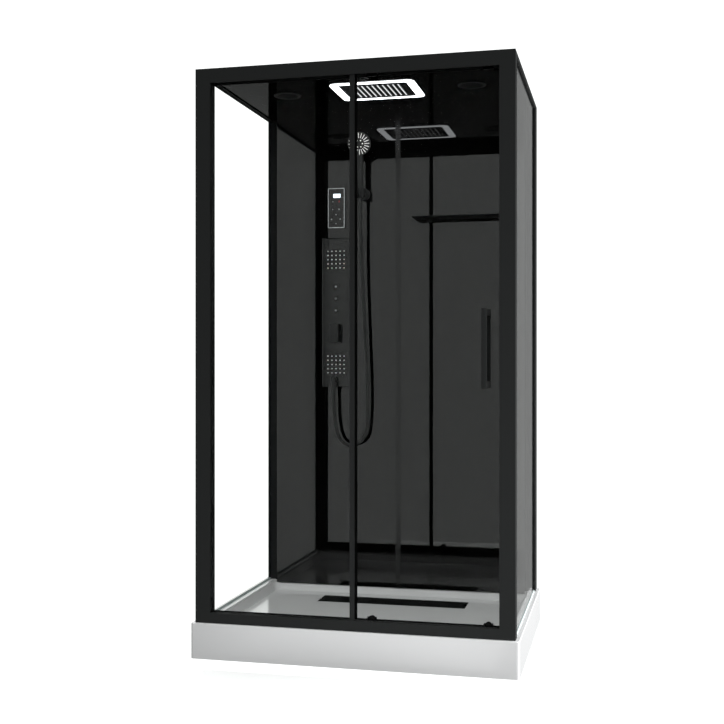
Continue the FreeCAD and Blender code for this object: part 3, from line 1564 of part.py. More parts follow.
NODES = {
    "shower_tray": shower_tray(),
    "drain_cover": drain_cover(),
    "waste_trap": waste_trap(),
    "hair_strainer": hair_strainer(),
    "levelling_feet": levelling_feet(),
    "tray_frame": tray_frame(),
    "front_post_left": front_post(),
    "front_post_right": right_front_post(),
    "top_front_rail": top_front_rail(),
    "bottom_front_rail": bottom_front_rail(),
    "side_rails": pair(side_rail()),
    "rear_posts": pair(rear_post()),
    "rear_rails": rear_rails(),
    "side_panes": pair(side_pane()),
    "side_seals": pair(side_seal()),
    "wall_panes": group([wall_pane(-1), wall_pane(1)]),
    "wall_joint_strip": wall_joint_strip(),
    "fixed_pane": fixed_pane(),
    "centre_profile": centre_profile(),
    "door_pane": door_pane(),
    "door_edge_profile": door_edge_profile(),
    "door_seal": door_seal(),
    "handle_bars": handle_bars(),
    "handle_studs": handle_studs(),
    "roller_carriers": carriers(),
    "roller_top_left": roller(roller_xs()[0], top_roller_z()),
    "roller_top_right": roller(roller_xs()[1], top_roller_z()),
    "roller_bottom_left": roller(roller_xs()[0], bottom_roller_z()),
    "roller_bottom_right": roller(roller_xs()[1], bottom_roller_z()),
    "roof_panel": roof_panel(),
    "lamp_ring": lamp_ring(),
    "lamp_board": lamp_board(),
    "rain_head": rain_head(),
    "rain_nozzles": rain_nozzles(),
    "ceiling_grilles": group([round_grille(-1), round_grille(1)]),
    "speaker_driver": speaker_driver(),
    "fan_housing": fan_housing(),
    "fan_rotor": fan_rotor(),
    "column_body": column_body(),
    "body_jets": group([body_jets(upper_jets_z), body_jets(lower_jets_z)]),
    "valve_block": valve_block(),
    "mixer_cartridge": mixer_cartridge(),
    "mixer_lever": mixer_lever(),
    "hose_elbow": hose_elbow(),
    "hose": hose(),
    "hose_nut": hose_nut(),
    "handset_body": handset_body(),
    "handset_face": handset_face(),
    "handset_holder": handset_holder(),
    "control_housing": control_housing(),
    "control_frame": control_frame(),
    "control_display": control_display(),
    "shelf": shelf(),
    "shelf_brackets": shelf_brackets(),
    "steam_generator": steam_generator(),
    "steam_outlet": steam_outlet(),
    "frame_screws": frame_screws(),
}
for number, height in enumerate(button_heights):
    NODES["push_button_%d" % (number + 1)] = push_button(height)

for node_name, node_shape in NODES.items():
    save(node_name, node_shape)
print(len(NODES), "nodes")
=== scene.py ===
"""Steam shower cabin: finishes, small fittings, hose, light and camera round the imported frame."""

import math

import bpy
from mathutils import Matrix, Vector


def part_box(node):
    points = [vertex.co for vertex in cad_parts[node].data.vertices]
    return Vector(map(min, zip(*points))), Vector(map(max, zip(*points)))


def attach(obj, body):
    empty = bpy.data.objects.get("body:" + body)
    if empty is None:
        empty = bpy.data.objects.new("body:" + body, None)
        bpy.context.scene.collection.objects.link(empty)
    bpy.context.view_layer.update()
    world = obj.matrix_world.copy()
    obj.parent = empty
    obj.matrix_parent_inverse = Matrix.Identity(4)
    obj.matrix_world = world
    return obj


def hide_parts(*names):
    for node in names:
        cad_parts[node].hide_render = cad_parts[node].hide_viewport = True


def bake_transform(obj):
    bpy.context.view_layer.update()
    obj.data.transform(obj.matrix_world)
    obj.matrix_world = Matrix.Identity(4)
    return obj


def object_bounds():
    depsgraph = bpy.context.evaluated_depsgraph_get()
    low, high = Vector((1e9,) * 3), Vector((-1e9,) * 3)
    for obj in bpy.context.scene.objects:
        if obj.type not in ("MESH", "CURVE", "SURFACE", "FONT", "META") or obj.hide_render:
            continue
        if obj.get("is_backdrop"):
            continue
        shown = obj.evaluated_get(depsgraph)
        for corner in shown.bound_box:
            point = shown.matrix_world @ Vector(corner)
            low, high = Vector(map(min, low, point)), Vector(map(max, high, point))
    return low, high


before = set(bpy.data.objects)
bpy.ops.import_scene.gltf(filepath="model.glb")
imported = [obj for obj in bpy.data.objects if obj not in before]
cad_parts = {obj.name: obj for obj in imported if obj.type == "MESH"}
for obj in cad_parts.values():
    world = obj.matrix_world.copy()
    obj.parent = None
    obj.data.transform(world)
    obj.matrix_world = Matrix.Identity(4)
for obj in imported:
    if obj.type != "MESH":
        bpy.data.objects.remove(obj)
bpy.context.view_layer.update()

# ---------------------------------------------------------------- camera
# Eye height and distance of someone who stands 3.7 m in front of the cabin, a little beyond
# its right-hand post, and looks level, turned 13 degrees to the left. The small shift only
# centres the cabin.
camera_data = bpy.data.cameras.new("viewer")
camera_data.sensor_width = 36.0
camera_data.lens = 53.58
camera_data.shift_x = -0.0210
camera_data.shift_y = -0.00185
camera = bpy.data.objects.new("viewer", camera_data)
camera.location = (0.957, -4.126, 1.092)
camera.rotation_euler = (math.radians(90.0), 0.0, math.radians(13.064))
bpy.context.collection.objects.link(camera)
bpy.context.scene.camera = camera


# ---------------------------------------------------------------- shower hose
# Black PVC tube, 14 mm thick, over a spiral liner. It leaves the nut under the elbow, hangs
# in one loop, and rises to the nut under the hand shower.
def linear(code):
    """Linear colour of an sRGB hex value such as "1E1F1F"."""
    values = [int(code[i:i + 2], 16) / 255 for i in (0, 2, 4)]
    return [v / 12.92 if v <= 0.04045 else ((v + 0.055) / 1.055) ** 2.4 for v in values] + [1.0]


def finish(name, colour, **sockets):
    """New material with one Principled shader of this colour, its sockets set by name."""
    material = bpy.data.materials.new(name)
    material.use_nodes = True
    shader = material.node_tree.nodes["Principled BSDF"]
    shader.inputs["Base Color"].default_value = linear(colour)
    for socket, value in sockets.items():
        shader.inputs[socket.replace("_", " ")].default_value = value
    return material


def add(material, kind, settings, links):
    """Adds one node. Settings are its own or its sockets'; links lead outputs to its sockets."""
    tree = material.node_tree
    node = tree.nodes.new("ShaderNode" + kind)
    for key, value in settings.items():
        if isinstance(key, str) and hasattr(node, key):
            setattr(node, key, value)
        else:
            node.inputs[key].default_value = value
    for key, output in links.items():
        tree.links.new(output, node.inputs[key])
    return node


def wear(material, **outputs):
    """Leads outputs to the sockets of the material's shader."""
    shader = material.node_tree.nodes["Principled BSDF"]
    for socket, output in outputs.items():
        material.node_tree.links.new(output, shader.inputs[socket.replace("_", " ")])


def clothe(piece, material):
    """Gives the whole piece one material."""
    piece.data.materials.clear()
    piece.data.materials.append(material)


hose_diameter = 0.014
hose_route = [
    (-0.2660, 0.3230, 0.9670), (-0.2660, 0.3230, 0.9220), (-0.2650, 0.3265, 0.8640),
    (-0.2575, 0.3285, 0.8050), (-0.2457, 0.3285, 0.7610), (-0.2222, 0.3270, 0.7375),
    (-0.1900, 0.3250, 0.7290), (-0.1578, 0.3250, 0.7375), (-0.1343, 0.3265, 0.7610),
    (-0.1225, 0.3285, 0.8050), (-0.1180, 0.3300, 0.8620), (-0.1165, 0.3305, 0.9350),
    (-0.1190, 0.3295, 1.0300), (-0.1240, 0.3270, 1.1500), (-0.1310, 0.3225, 1.2900),
    (-0.1375, 0.3155, 1.4400), (-0.1415, 0.3065, 1.5900), (-0.1430, 0.2990, 1.6980),
    (-0.1430, 0.2990, 1.7880),
]
hose_curve = bpy.data.curves.new("hose_line", "CURVE")
hose_curve.dimensions = "3D"
hose_curve.resolution_u = 16
hose_spline = hose_curve.splines.new("NURBS")
hose_spline.points.add(len(hose_route) - 1)
for hose_point, place in zip(hose_spline.points, hose_route):
    hose_point.co = (*place, 1.0)
hose_spline.order_u = 3
hose_spline.use_endpoint_u = True
hose_holder = bpy.data.objects.new("hose_line", hose_curve)
hose_line = bpy.data.meshes.new_from_object(hose_holder)
hose_path = [vertex.co.copy() for vertex in hose_line.vertices]
bpy.data.objects.remove(hose_holder)

# One ring of corners round each point of the line. The rings don't twist from one to the next.
hose_sides = 24
hose_corners = []
hose_run = [0.0]
for here, there in zip(hose_path, hose_path[1:]):
    hose_run.append(hose_run[-1] + (there - here).length)
hose_side = Vector((1.0, 0.0, 0.0))
for number, here in enumerate(hose_path):
    ahead = hose_path[min(number + 1, len(hose_path) - 1)]
    behind = hose_path[max(number - 1, 0)]
    along = (ahead - behind).normalized()
    hose_side = (hose_side - along * hose_side.dot(along)).normalized()
    over = along.cross(hose_side)
    for step in range(hose_sides):
        angle = 2 * math.pi * step / hose_sides
        hose_corners.append(here + (hose_side * math.cos(angle) + over * math.sin(angle))
                            * hose_diameter / 2)
# Faces between the rings, each with its place round the hose and its run along it in metres.
hose_faces = []
hose_turns = []
for number in range(len(hose_path) - 1):
    for step in range(hose_sides):
        after = (step + 1) % hose_sides
        row, above = number * hose_sides, (number + 1) * hose_sides
        hose_faces.append((row + step, row + after, above + after, above + step))
        hose_turns += [(step / hose_sides, hose_run[number]),
                       ((step + 1) / hose_sides, hose_run[number]),
                       ((step + 1) / hose_sides, hose_run[number + 1]),
                       (step / hose_sides, hose_run[number + 1])]
hose_faces.append(tuple(reversed(range(hose_sides))))
hose_faces.append(tuple(len(hose_corners) - hose_sides + step for step in range(hose_sides)))
hose_turns += [(0.0, 0.0)] * hose_sides * 2
hose_mesh = bpy.data.meshes.new("hose_tube")
hose_mesh.from_pydata(hose_corners, [], hose_faces)
hose_mesh.uv_layers.new(name="along")
for loop, turn in zip(hose_mesh.uv_layers["along"].data, hose_turns):
    loop.uv = turn
for face in hose_mesh.polygons:
    face.use_smooth = len(face.vertices) == 4
hose = bpy.data.objects.new("hose_tube", hose_mesh)
bpy.context.collection.objects.link(hose)

# Extruded PVC: satin, with the liner's 3 mm spiral just showing through the skin.
spiral_pitch = 0.003
hose_pvc = finish("extruded black PVC hose", "202121", Roughness=0.38, IOR=1.45,
                  Specular_IOR_Level=0.35)
unrolled = add(hose_pvc, "UVMap", {"uv_map": "along"}, {})
parts = add(hose_pvc, "SeparateXYZ", {}, {"Vector": unrolled.outputs["UV"]})
turns = add(hose_pvc, "Math", {"operation": "DIVIDE", 1: spiral_pitch}, {0: parts.outputs["Y"]})
screw = add(hose_pvc, "Math", {"operation": "ADD"}, {0: turns.outputs[0], 1: parts.outputs["X"]})
ridge = add(hose_pvc, "Math", {"operation": "PINGPONG", 1: 0.5}, {0: screw.outputs[0]})
hose_bump = add(hose_pvc, "Bump", {"Strength": 0.5, "Distance": 0.0003},
                {"Height": ridge.outputs[0]})
wear(hose_pvc, Normal=hose_bump.outputs["Normal"])
clothe(hose, hose_pvc)
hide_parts("hose")
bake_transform(hose)

# ---------------------------------------------------------------- studio
# White floor and a soft white room. Reflections see a white room in front and a dim one
# behind, as in a product studio with a lit front wall, and a bright wall at the back left.
backdrop_light = 1.3
horizon_light, overhead_light = 0.22, 2.5
front_reflection, rear_reflection, left_reflection = 0.92, 0.38, 0.8
room = bpy.data.worlds.new("white studio")
room.use_nodes = True
room.cycles.sampling_method = "NONE"
bpy.context.scene.world = room
bpy.context.scene.view_settings.view_transform = "Standard"
backdrop = room.node_tree.nodes["Background"]
backdrop.inputs["Color"].default_value = linear("FCFEFD")
way = add(room, "TexCoord", {}, {})
heading = add(room, "SeparateXYZ", {}, {"Vector": way.outputs["Generated"]})
ray = add(room, "LightPath", {}, {})
# Matt surfaces get a little light from the horizon and much from overhead.
above = add(room, "Math", {"operation": "MAXIMUM", 1: 0.0}, {0: heading.outputs["Z"]})
high = add(room, "Math", {"operation": "POWER", 1: 2.0}, {0: above.outputs[0]})
sky = add(room, "MapRange", {"To Min": horizon_light, "To Max": overhead_light},
          {"Value": high.outputs[0]})
# Mirrors see the front wall, the dim rear and the bright wall at the back left.
mirrored = add(room, "MapRange", {"From Min": -0.35, "From Max": 0.25,
                                  "To Min": front_reflection, "To Max": rear_reflection},
               {"Value": heading.outputs["Y"]})
leftward = add(room, "MapRange", {"From Min": -0.08, "From Max": -0.25},
               {"Value": heading.outputs["X"]})
upward = add(room, "MapRange", {"From Max": 0.1, "To Max": left_reflection},
             {"Value": heading.outputs["Z"]})
rearward = add(room, "Math", {"operation": "GREATER_THAN", 1: 0.0}, {0: heading.outputs["Y"]})
left_wall = add(room, "Math", {"operation": "MULTIPLY"},
                {0: leftward.outputs[0], 1: upward.outputs[0]})
left_rear = add(room, "Math", {"operation": "MULTIPLY"},
                {0: left_wall.outputs[0], 1: rearward.outputs[0]})
reflected = add(room, "Math", {"operation": "ADD"},
                {0: mirrored.outputs[0], 1: left_rear.outputs[0]})
lit = add(room, "Math", {"operation": "GREATER_THAN", 1: 0.5},
          {0: ray.outputs["Diffuse Depth"]})
shone = add(room, "Math", {"operation": "GREATER_THAN", 1: 0.5},
            {0: ray.outputs["Glossy Depth"]})
seen = add(room, "Mix", {"data_type": "FLOAT", 2: backdrop_light},
           {0: shone.outputs[0], 3: reflected.outputs[0]})
glow = add(room, "Mix", {"data_type": "FLOAT"},
           {0: lit.outputs[0], 2: seen.outputs[0], 3: sky.outputs[0]})
room.node_tree.links.new(glow.outputs[0], backdrop.inputs["Strength"])

# Each lamp's width in metres, its power in watts, its place and the point that it faces.
for lamp_name, lamp_size, lamp_power, lamp_place, lamp_aim in (
        ("softbox", 1.0, 30.0, (2.2, -1.5, 0.7), (0.6, -0.44, 0.1)),
        ("side_panel", 1.2, 118.0, (2.6, 0.5, 0.7), (0.6, 0.0, 0.1)),
        ("ring_glow", 0.3, 3.0, (0.009, -0.029, 2.135), (0.009, -0.029, 0.1))):
    lamp_data = bpy.data.lights.new(lamp_name, "AREA")
    lamp_data.size = lamp_size
    lamp_data.energy = lamp_power
    lamp = bpy.data.objects.new(lamp_name, lamp_data)
    lamp.location = lamp_place
    aim = Vector(lamp_aim) - lamp.location
    lamp.rotation_euler = aim.to_track_quat("-Z", "Y").to_euler()
    lamp.visible_camera = False
    lamp.visible_glossy = False
    lamp.visible_transmission = False
    bpy.context.collection.objects.link(lamp)

bpy.ops.object.select_all(action="DESELECT")
bpy.ops.mesh.primitive_plane_add(size=1.0, location=(0.0, -1.05, 0.0), scale=(6.0, 4.1, 1.0))
floor = bpy.context.object
floor.name = "floor"
# Matt paint has no shine at all, so the floor melts into the backdrop.
floor_paint = finish("matt white studio floor", "F6F6F6", Roughness=0.9, Specular_IOR_Level=0.1)
clothe(floor, floor_paint)
floor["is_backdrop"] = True


# ---------------------------------------------------------------- tray
# Acrylic sheet, vacuum-formed over a mould and backed with sprayed glass fibre. The long
# cover lifts out over the drain channel.
def dress(material, *nodes):
    """Gives CAD nodes one material."""
    for node in nodes:
        clothe(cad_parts[node], material)


def grain(material, size_mm, bump_mm, gloss=None, shades=None, stretch=(1.0, 1.0, 1.0)):
    """Uneven surface: bumps this wide and deep and, where they are given, roughness between
    two values and colour between two shades. A stretch above 1 draws it out along that axis."""
    place = add(material, "TexCoord", {}, {})
    drawn = add(material, "Mapping", {"Scale": [1.0 / factor for factor in stretch]},
                {"Vector": place.outputs["Object"]})
    noise = add(material, "TexNoise", {"Scale": 1000.0 / size_mm, "Detail": 3.0},
                {"Vector": drawn.outputs["Vector"]})
    bump = add(material, "Bump", {"Strength": 1.0, "Distance": bump_mm / 1000.0},
               {"Height": noise.outputs["Fac"]})
    wear(material, Normal=bump.outputs["Normal"])
    if gloss:
        shine = add(material, "MapRange", {"To Min": gloss[0], "To Max": gloss[1]},
                    {"Value": noise.outputs["Fac"]})
        wear(material, Roughness=shine.outputs[0])
    if shades:
        tone = add(material, "Mix", {"data_type": "RGBA", 6: linear(shades[0]),
                                     7: linear(shades[1])}, {0: noise.outputs["Fac"]})
        wear(material, Base_Color=tone.outputs[2])


def region(material, source, output, axis, test, limit, both_sides=False):
    """1 where one coordinate of the surface's normal or place passes the limit, else 0."""
    origin = add(material, source, {}, {})
    parts = add(material, "SeparateXYZ", {}, {"Vector": origin.outputs[output]})
    value = parts.outputs[axis]
    if both_sides:
        value = add(material, "Math", {"operation": "ABSOLUTE"}, {0: value}).outputs[0]
    return add(material, "Math", {"operation": test, 1: limit}, {0: value}).outputs[0]


def two_tone(material, mask, colour, gloss=None):
    """Second colour where the mask is 1, and roughness from one value to another with it."""
    base = material.node_tree.nodes["Principled BSDF"].inputs["Base Color"].default_value
    tone = add(material, "Mix", {"data_type": "RGBA", 6: list(base), 7: linear(colour)},
               {0: mask})
    wear(material, Base_Color=tone.outputs[2])
    if gloss:
        shine = add(material, "MapRange", {"To Min": gloss[0], "To Max": gloss[1]},
                    {"Value": mask})
        wear(material, Roughness=shine.outputs[0])


# A formed sheet is very slightly wavy, so its gloss bends broadly and never as in a mirror.
acrylic = finish("vacuum-formed white acrylic", "D2D2D3", IOR=1.49, Coat_Weight=0.55,
                 Coat_Roughness=0.06)
grain(acrylic, 60.0, 0.05)
# The face that looks down shows the fibre: dull, coarse and a little yellow.
fibre = region(acrylic, "NewGeometry", "Normal", "Z", "LESS_THAN", -0.3)
two_tone(acrylic, fibre, "BDB69C", (0.2, 0.75))
dress(acrylic, "shower_tray")

# ---------------------------------------------------------------- under the tray
# Zinc-plated bearers on screw feet, a grey PVC trap and a pressed stainless hair strainer.
# Plating is bright but cloudy, from one patch to the next.
zinc = finish("bright zinc plating", "A9ACAE", Metallic=1.0)
grain(zinc, 12.0, 0.02, (0.28, 0.5), ("A2A5A8", "B4B6B4"))
dress(zinc, "tray_frame", "levelling_feet")
# Injection-moulded pipe fittings are smooth with a soft even shine.
grey_pvc = finish("moulded grey PVC", "6D7073", IOR=1.53)
grain(grey_pvc, 3.0, 0.02, (0.35, 0.5), ("6A6D70", "717477"))
dress(grey_pvc, "waste_trap")
# Pressed sheet keeps the fine lines of the rolling mill.
pressed_steel = finish("pressed stainless steel", "B4B6B8", Metallic=1.0)
grain(pressed_steel, 1.5, 0.01, (0.2, 0.35), ("AFB1B3", "BABCBE"), (8.0, 1.0, 1.0))
dress(pressed_steel, "hair_strainer", "frame_screws", "roller_carriers")

# ---------------------------------------------------------------- frame
# Aluminium extrusions with a polyester powder coat, baked on in fine satin black, screwed
# together at the corners. The shelf, the handles and the drain cover are coated alike.
powder_coat = finish("black powder-coated aluminium", "282929", IOR=1.3,
                     Specular_IOR_Level=0.03)
# Powder melts into a fine orange peel, about 1.6 mm from hill to hill, that breaks the shine.
grain(powder_coat, 1.6, 0.012, (0.42, 0.55), ("262727", "2B2C2C"))
dress(powder_coat, "front_post_left", "front_post_right", "top_front_rail",
      "bottom_front_rail", "side_rails", "rear_posts", "rear_rails", "centre_profile",
      "handle_bars", "handle_studs", "shelf_brackets")
# The drain cover and the shelf get a darker copy of the same coat, as painted shade.
painted_shade_coat = finish("black powder coat with painted shade", "101111", IOR=1.3, Specular_IOR_Level=0.05)
grain(painted_shade_coat, 1.6, 0.012, (0.42, 0.55), ("0F1010", "131414"))
dress(painted_shade_coat, "drain_cover", "shelf")
# The door's edge profile gets a near-black, matt finish, so it is the darkest line on the door.
near_black_edge = finish("near-black matt edge finish", "050505", Specular_IOR_Level=0.05)
grain(near_black_edge, 1.0, 0.2, (0.8, 0.95), ("040404", "080808"), (1.0, 6.0, 1.0))
dress(near_black_edge, "door_edge_profile")

# ---------------------------------------------------------------- panes
# Six millimetre tempered float glass with an anti-reflective easy-clean coat. The back wall
# is the same glass, painted black behind.
for facing, met_index, nodes in (("X", 1.06, ("side_panes",)),
                                 ("Y", 1.02, ("fixed_pane", "door_pane"))):
    # The coat leaves the low index that the eye meets: the faces are nearly invisible from in
    # front and mirror the room only at a glance along them.
    pane_glass = finish("coated clear tempered glass " + facing, "FEFFFE", IOR=met_index,
                        Roughness=0.0, Transmission_Weight=1.0)
    # Only the ground edges, seen through the pane's whole width, show its green.
    ground_edge = region(pane_glass, "NewGeometry", "Normal", facing, "LESS_THAN", 0.5, True)
    two_tone(pane_glass, ground_edge, "8FB3A6")
    dress(pane_glass, *nodes)

# Black glass is a dark mirror: a hard clear gloss over black. Its painted back is dull.
black_glass = finish("back-painted black glass", "040404", IOR=1.5)
painted = region(black_glass, "NewGeometry", "Normal", "Y", "GREATER_THAN", 0.5)
two_tone(black_glass, painted, "1C1C1D", (0.0, 0.6))
dress(black_glass, "wall_panes")

# The strip over the joint is a satin extrusion: it blurs what the glass beside it mirrors, so
# it is paler than the glass where that is dark and a shade darker where that is bright.
satin_strip = finish("satin black extruded strip", "121212", IOR=1.5, Specular_IOR_Level=0.4)
grain(satin_strip, 1.2, 0.004, (0.2, 0.27), ("111111", "131313"), (1.0, 1.0, 12.0))
dress(satin_strip, "wall_joint_strip")

# The side seals are black on the outer lip, beyond the seam, and cloudy grey on the inner one, near
# the colour of the tray.
lip_seam = 0.5805
seal_rubber = finish("two-tone extruded seal", "B4BEBE", IOR=1.48)
grain(seal_rubber, 1.2, 0.03, (0.5, 0.7))
outer_lip = region(seal_rubber, "TexCoord", "Object", "X", "GREATER_THAN", lip_seam, True)
two_tone(seal_rubber, outer_lip, "0B0B0B")
dress(seal_rubber, "side_seals")
# Soft clear PVC is milky where it is thick and catches a wet-looking line of light.
seal_pvc = finish("translucent soft PVC", "7B8080", IOR=1.53, Transmission_Weight=0.6)
grain(seal_pvc, 4.0, 0.03, (0.2, 0.35), ("767B7B", "848989"))
dress(seal_pvc, "door_seal")
# Turned plastic wheels keep the fine rings of the lathe.
acetal = finish("turned black acetal", "0E0E0E", IOR=1.48)
grain(acetal, 0.8, 0.01, (0.3, 0.45), ("0C0C0C", "121212"), (1.0, 5.0, 1.0))
dress(acetal, "roller_top_left", "roller_top_right", "roller_bottom_left",
      "roller_bottom_right")


# ---------------------------------------------------------------- roller caps
# Moulded rubber caps that cover the bolts of the lower rollers on the outside of the door.
# Each has its foot cut flat, just clear of the sill.
def start(kind, **settings):
    """Adds one primitive, puts its place into its mesh and returns it."""
    bpy.ops.object.select_all(action="DESELECT")
    getattr(bpy.ops.mesh, "primitive_" + kind + "_add")(**settings)
    bpy.ops.object.transform_apply(location=True, rotation=True, scale=True)
    return bpy.context.object


def seat(piece, name, material, body):
    """Names and dresses the piece and lets it ride on a body."""
    piece.name = name
    clothe(piece, material)
    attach(piece, body)


# Rubber is matt and takes nearly all the light, so the caps are plain black half-discs.
cap_rubber = finish("moulded black rubber", "070707", Specular_IOR_Level=0.1)
grain(cap_rubber, 0.9, 0.01, (0.6, 0.75), ("060606", "090909"))
cap_radius, cap_thickness, cap_foot = 0.0125, 0.003, 0.1715
door_front, roller_height = -0.403, 0.175
for cap_side, roller_x in (("left", 0.0725), ("right", 0.488)):
    cap = start("cylinder", vertices=40, radius=cap_radius, depth=cap_thickness,
                location=(roller_x, door_front - cap_thickness / 2, roller_height),
                rotation=(math.pi / 2, 0.0, 0.0))
    bpy.ops.object.mode_set(mode="EDIT")
    bpy.ops.mesh.select_all(action="SELECT")
    bpy.ops.mesh.bisect(plane_co=(roller_x, 0.0, cap_foot), plane_no=(0.0, 0.0, 1.0),
                        use_fill=True, clear_inner=True)
    bpy.ops.object.mode_set(mode="OBJECT")
    rounding = cap.modifiers.new("rounding", "BEVEL")
    rounding.width = 0.0008
    rounding.segments = 2
    rounding.limit_method = "ANGLE"
    bpy.ops.object.modifier_apply(modifier="rounding")
    bpy.ops.object.shade_smooth_by_angle(angle=math.radians(30.0))
    seat(cap, "roller_cap_" + cap_side, cap_rubber, "door")

# ---------------------------------------------------------------- ceiling
# Gloss black acrylic sheet with a lit opal ring round the flat rain head, and a loudspeaker
# and an extractor fan behind round grilles.
# Cast sheet is flat to the eye. A slow wave keeps its mirror from looking like glass.
roof_acrylic = finish("gloss black acrylic sheet", "020202", IOR=1.09, Roughness=0.0)
grain(roof_acrylic, 150.0, 0.01, None, ("020202", "040404"))
dress(roof_acrylic, "roof_panel")
# Opal acrylic spreads the light of the board behind it, so no single LED shows.
opal = finish("lit opal acrylic", "F4F8FC", Emission_Color=linear("F8FBFF"),
              Emission_Strength=4.4, Roughness=0.4)
dress(opal, "lamp_ring")
# Solder mask is a thin lacquer, even and slightly glossy, over the board's faint weave.
solder_mask = finish("white solder mask", "C9CBC4")
grain(solder_mask, 2.0, 0.01, (0.3, 0.4), ("C4C6BF", "CFD1CA"))
dress(solder_mask, "lamp_board")
# Moulded ABS has the even grain of an etched tool, about 1 mm across.
abs_black = finish("moulded black ABS", "181919", IOR=1.4)
grain(abs_black, 0.9, 0.015, (0.36, 0.5), ("161717", "1B1C1C"))
dress(abs_black, "rain_head", "ceiling_grilles", "fan_housing", "fan_rotor", "mixer_lever",
      "hose_elbow", "hose_nut", "handset_body", "handset_holder", "steam_outlet",
      "push_button_1", "push_button_2", "push_button_3")
# Liquid silicone rubber is matt and waxy, so its edges glow a little.
silicone = finish("moulded white silicone", "F2F2EF", IOR=1.41, Subsurface_Weight=0.2,
                  Subsurface_Scale=0.002)
grain(silicone, 1.0, 0.02, (0.45, 0.6), ("EEEEEB", "F6F6F4"))
dress(silicone, "body_jets")
# The rain head's strips are the same rubber with a painted glow: an emission that stands in for the
# ring's light on them.
painted_glow_silicone = finish("white silicone with a painted glow", "F2F2EF", IOR=1.41,
                      Emission_Color=linear("F8FBFF"), Emission_Strength=0.55)
grain(painted_glow_silicone, 1.0, 0.02, (0.45, 0.6), ("EEEEEB", "F6F6F4"))
dress(painted_glow_silicone, "rain_nozzles")
# A pressed plastic cone is dull, with faint rings.
cone_polymer = finish("black polypropylene cone", "111111", IOR=1.49)
grain(cone_polymer, 2.0, 0.05, (0.45, 0.65), ("0F0F0F", "161616"))
dress(cone_polymer, "speaker_driver")


# ---------------------------------------------------------------- rain and jet nozzles
# Small silicone nozzles, moulded with a rounded rim and a hole, that a thumb can rub clean.
# They stand in rows along the rain head's strips, and one crowns each jet of the column.
def joined(pieces):
    """Joins the pieces into the first of them."""
    bpy.ops.object.select_all(action="DESELECT")
    for piece in pieces:
        piece.select_set(True)
    bpy.context.view_layer.objects.active = pieces[0]
    bpy.ops.object.join()
    return pieces[0]


def repeat(model, places):
    """Copies the model to each place and joins the copies into one piece."""
    copies = []
    for at in places:
        copy = model.copy()
        copy.data = model.data.copy()
        copy.data.transform(Matrix.Translation(at))
        bpy.context.collection.objects.link(copy)
        copies.append(copy)
    bpy.data.objects.remove(model)
    return joined(copies)


def pick(kind, parts, wanted):
    """Opens the active piece for editing with only the wanted faces or edges selected."""
    bpy.ops.object.mode_set(mode="EDIT")
    bpy.ops.mesh.select_mode(type=kind)
    bpy.ops.mesh.select_all(action="DESELECT")
    bpy.ops.object.mode_set(mode="OBJECT")
    for part in parts:
        part.select = wanted(part)
    bpy.ops.object.mode_set(mode="EDIT")


def nozzle(radius, height, turn):
    """One nozzle at the origin, its base at zero: rim drawn in, then pushed down for the hole."""
    tip_share, rim_share, hole_share = 0.75, 0.35, 0.7
    cone = start("cone", vertices=10, radius1=radius, radius2=radius * tip_share,
                 depth=height, location=(0.0, 0.0, height / 2))
    pick("FACE", cone.data.polygons, lambda face: face.normal.z > 0.9)
    bpy.ops.mesh.inset(thickness=radius * rim_share)
    bpy.ops.mesh.extrude_region_move(
        TRANSFORM_OT_translate={"value": (0.0, 0.0, -height * hole_share)})
    bpy.ops.object.mode_set(mode="OBJECT")
    cone.data.transform(turn)
    bpy.ops.object.shade_smooth_by_angle(angle=math.radians(35.0))
    return cone


def spread(count, pitch, middle):
    """Places in a row, this far apart, about a middle."""
    return [middle + (number - (count - 1) / 2) * pitch for number in range(count)]


# Ten strips of fifteen nozzles, their tips below the rain head's underside.
rain_under, strip_pitch, rain_pitch, rain_middle = 2.144, 0.0203, 0.011, (0.015, -0.029)
rain_places = [(across, back, rain_under) for across in spread(10, strip_pitch, rain_middle[0])
               for back in spread(15, rain_pitch, rain_middle[1])]
rain_nub = nozzle(radius=0.0019, height=0.0016, turn=Matrix.Rotation(math.pi, 4, "X"))
# The rain nubs wear the same rubber with the painted glow.
seat(repeat(rain_nub, rain_places), "rain_nubs", painted_glow_silicone, "root")

# Two fields of five by five jets.
column_x, jet_pitch, jet_tip = -0.2615, 0.018, 0.3418
field_heights = (1.526, 1.0755)
jet_places = [(across, jet_tip, up) for middle in field_heights
              for across in spread(5, jet_pitch, column_x)
              for up in spread(5, jet_pitch, middle)]
jet_nub = nozzle(radius=0.0021, height=0.0009, turn=Matrix.Rotation(math.pi / 2, 4, "X"))
seat(repeat(jet_nub, jet_places), "jet_nubs", silicone, "root")

# ---------------------------------------------------------------- shower column
# Lacquered black housing on the back wall, with a cast brass valve block behind it.
# Sprayed lacquer has a long soft peel under a clean satin shine.
lacquer = finish("satin black lacquer", "181919", IOR=1.42)
grain(lacquer, 1.4, 0.006, (0.1, 0.16), ("171818", "1A1B1B"))
dress(lacquer, "column_body")
# Sand-cast brass is pitted and dull, brown in the hollows.
brass = finish("cast brass", "B08D45", Metallic=1.0)
grain(brass, 1.5, 0.08, (0.3, 0.5), ("9C7A3A", "BE9B52"))
dress(brass, "valve_block", "mixer_cartridge")


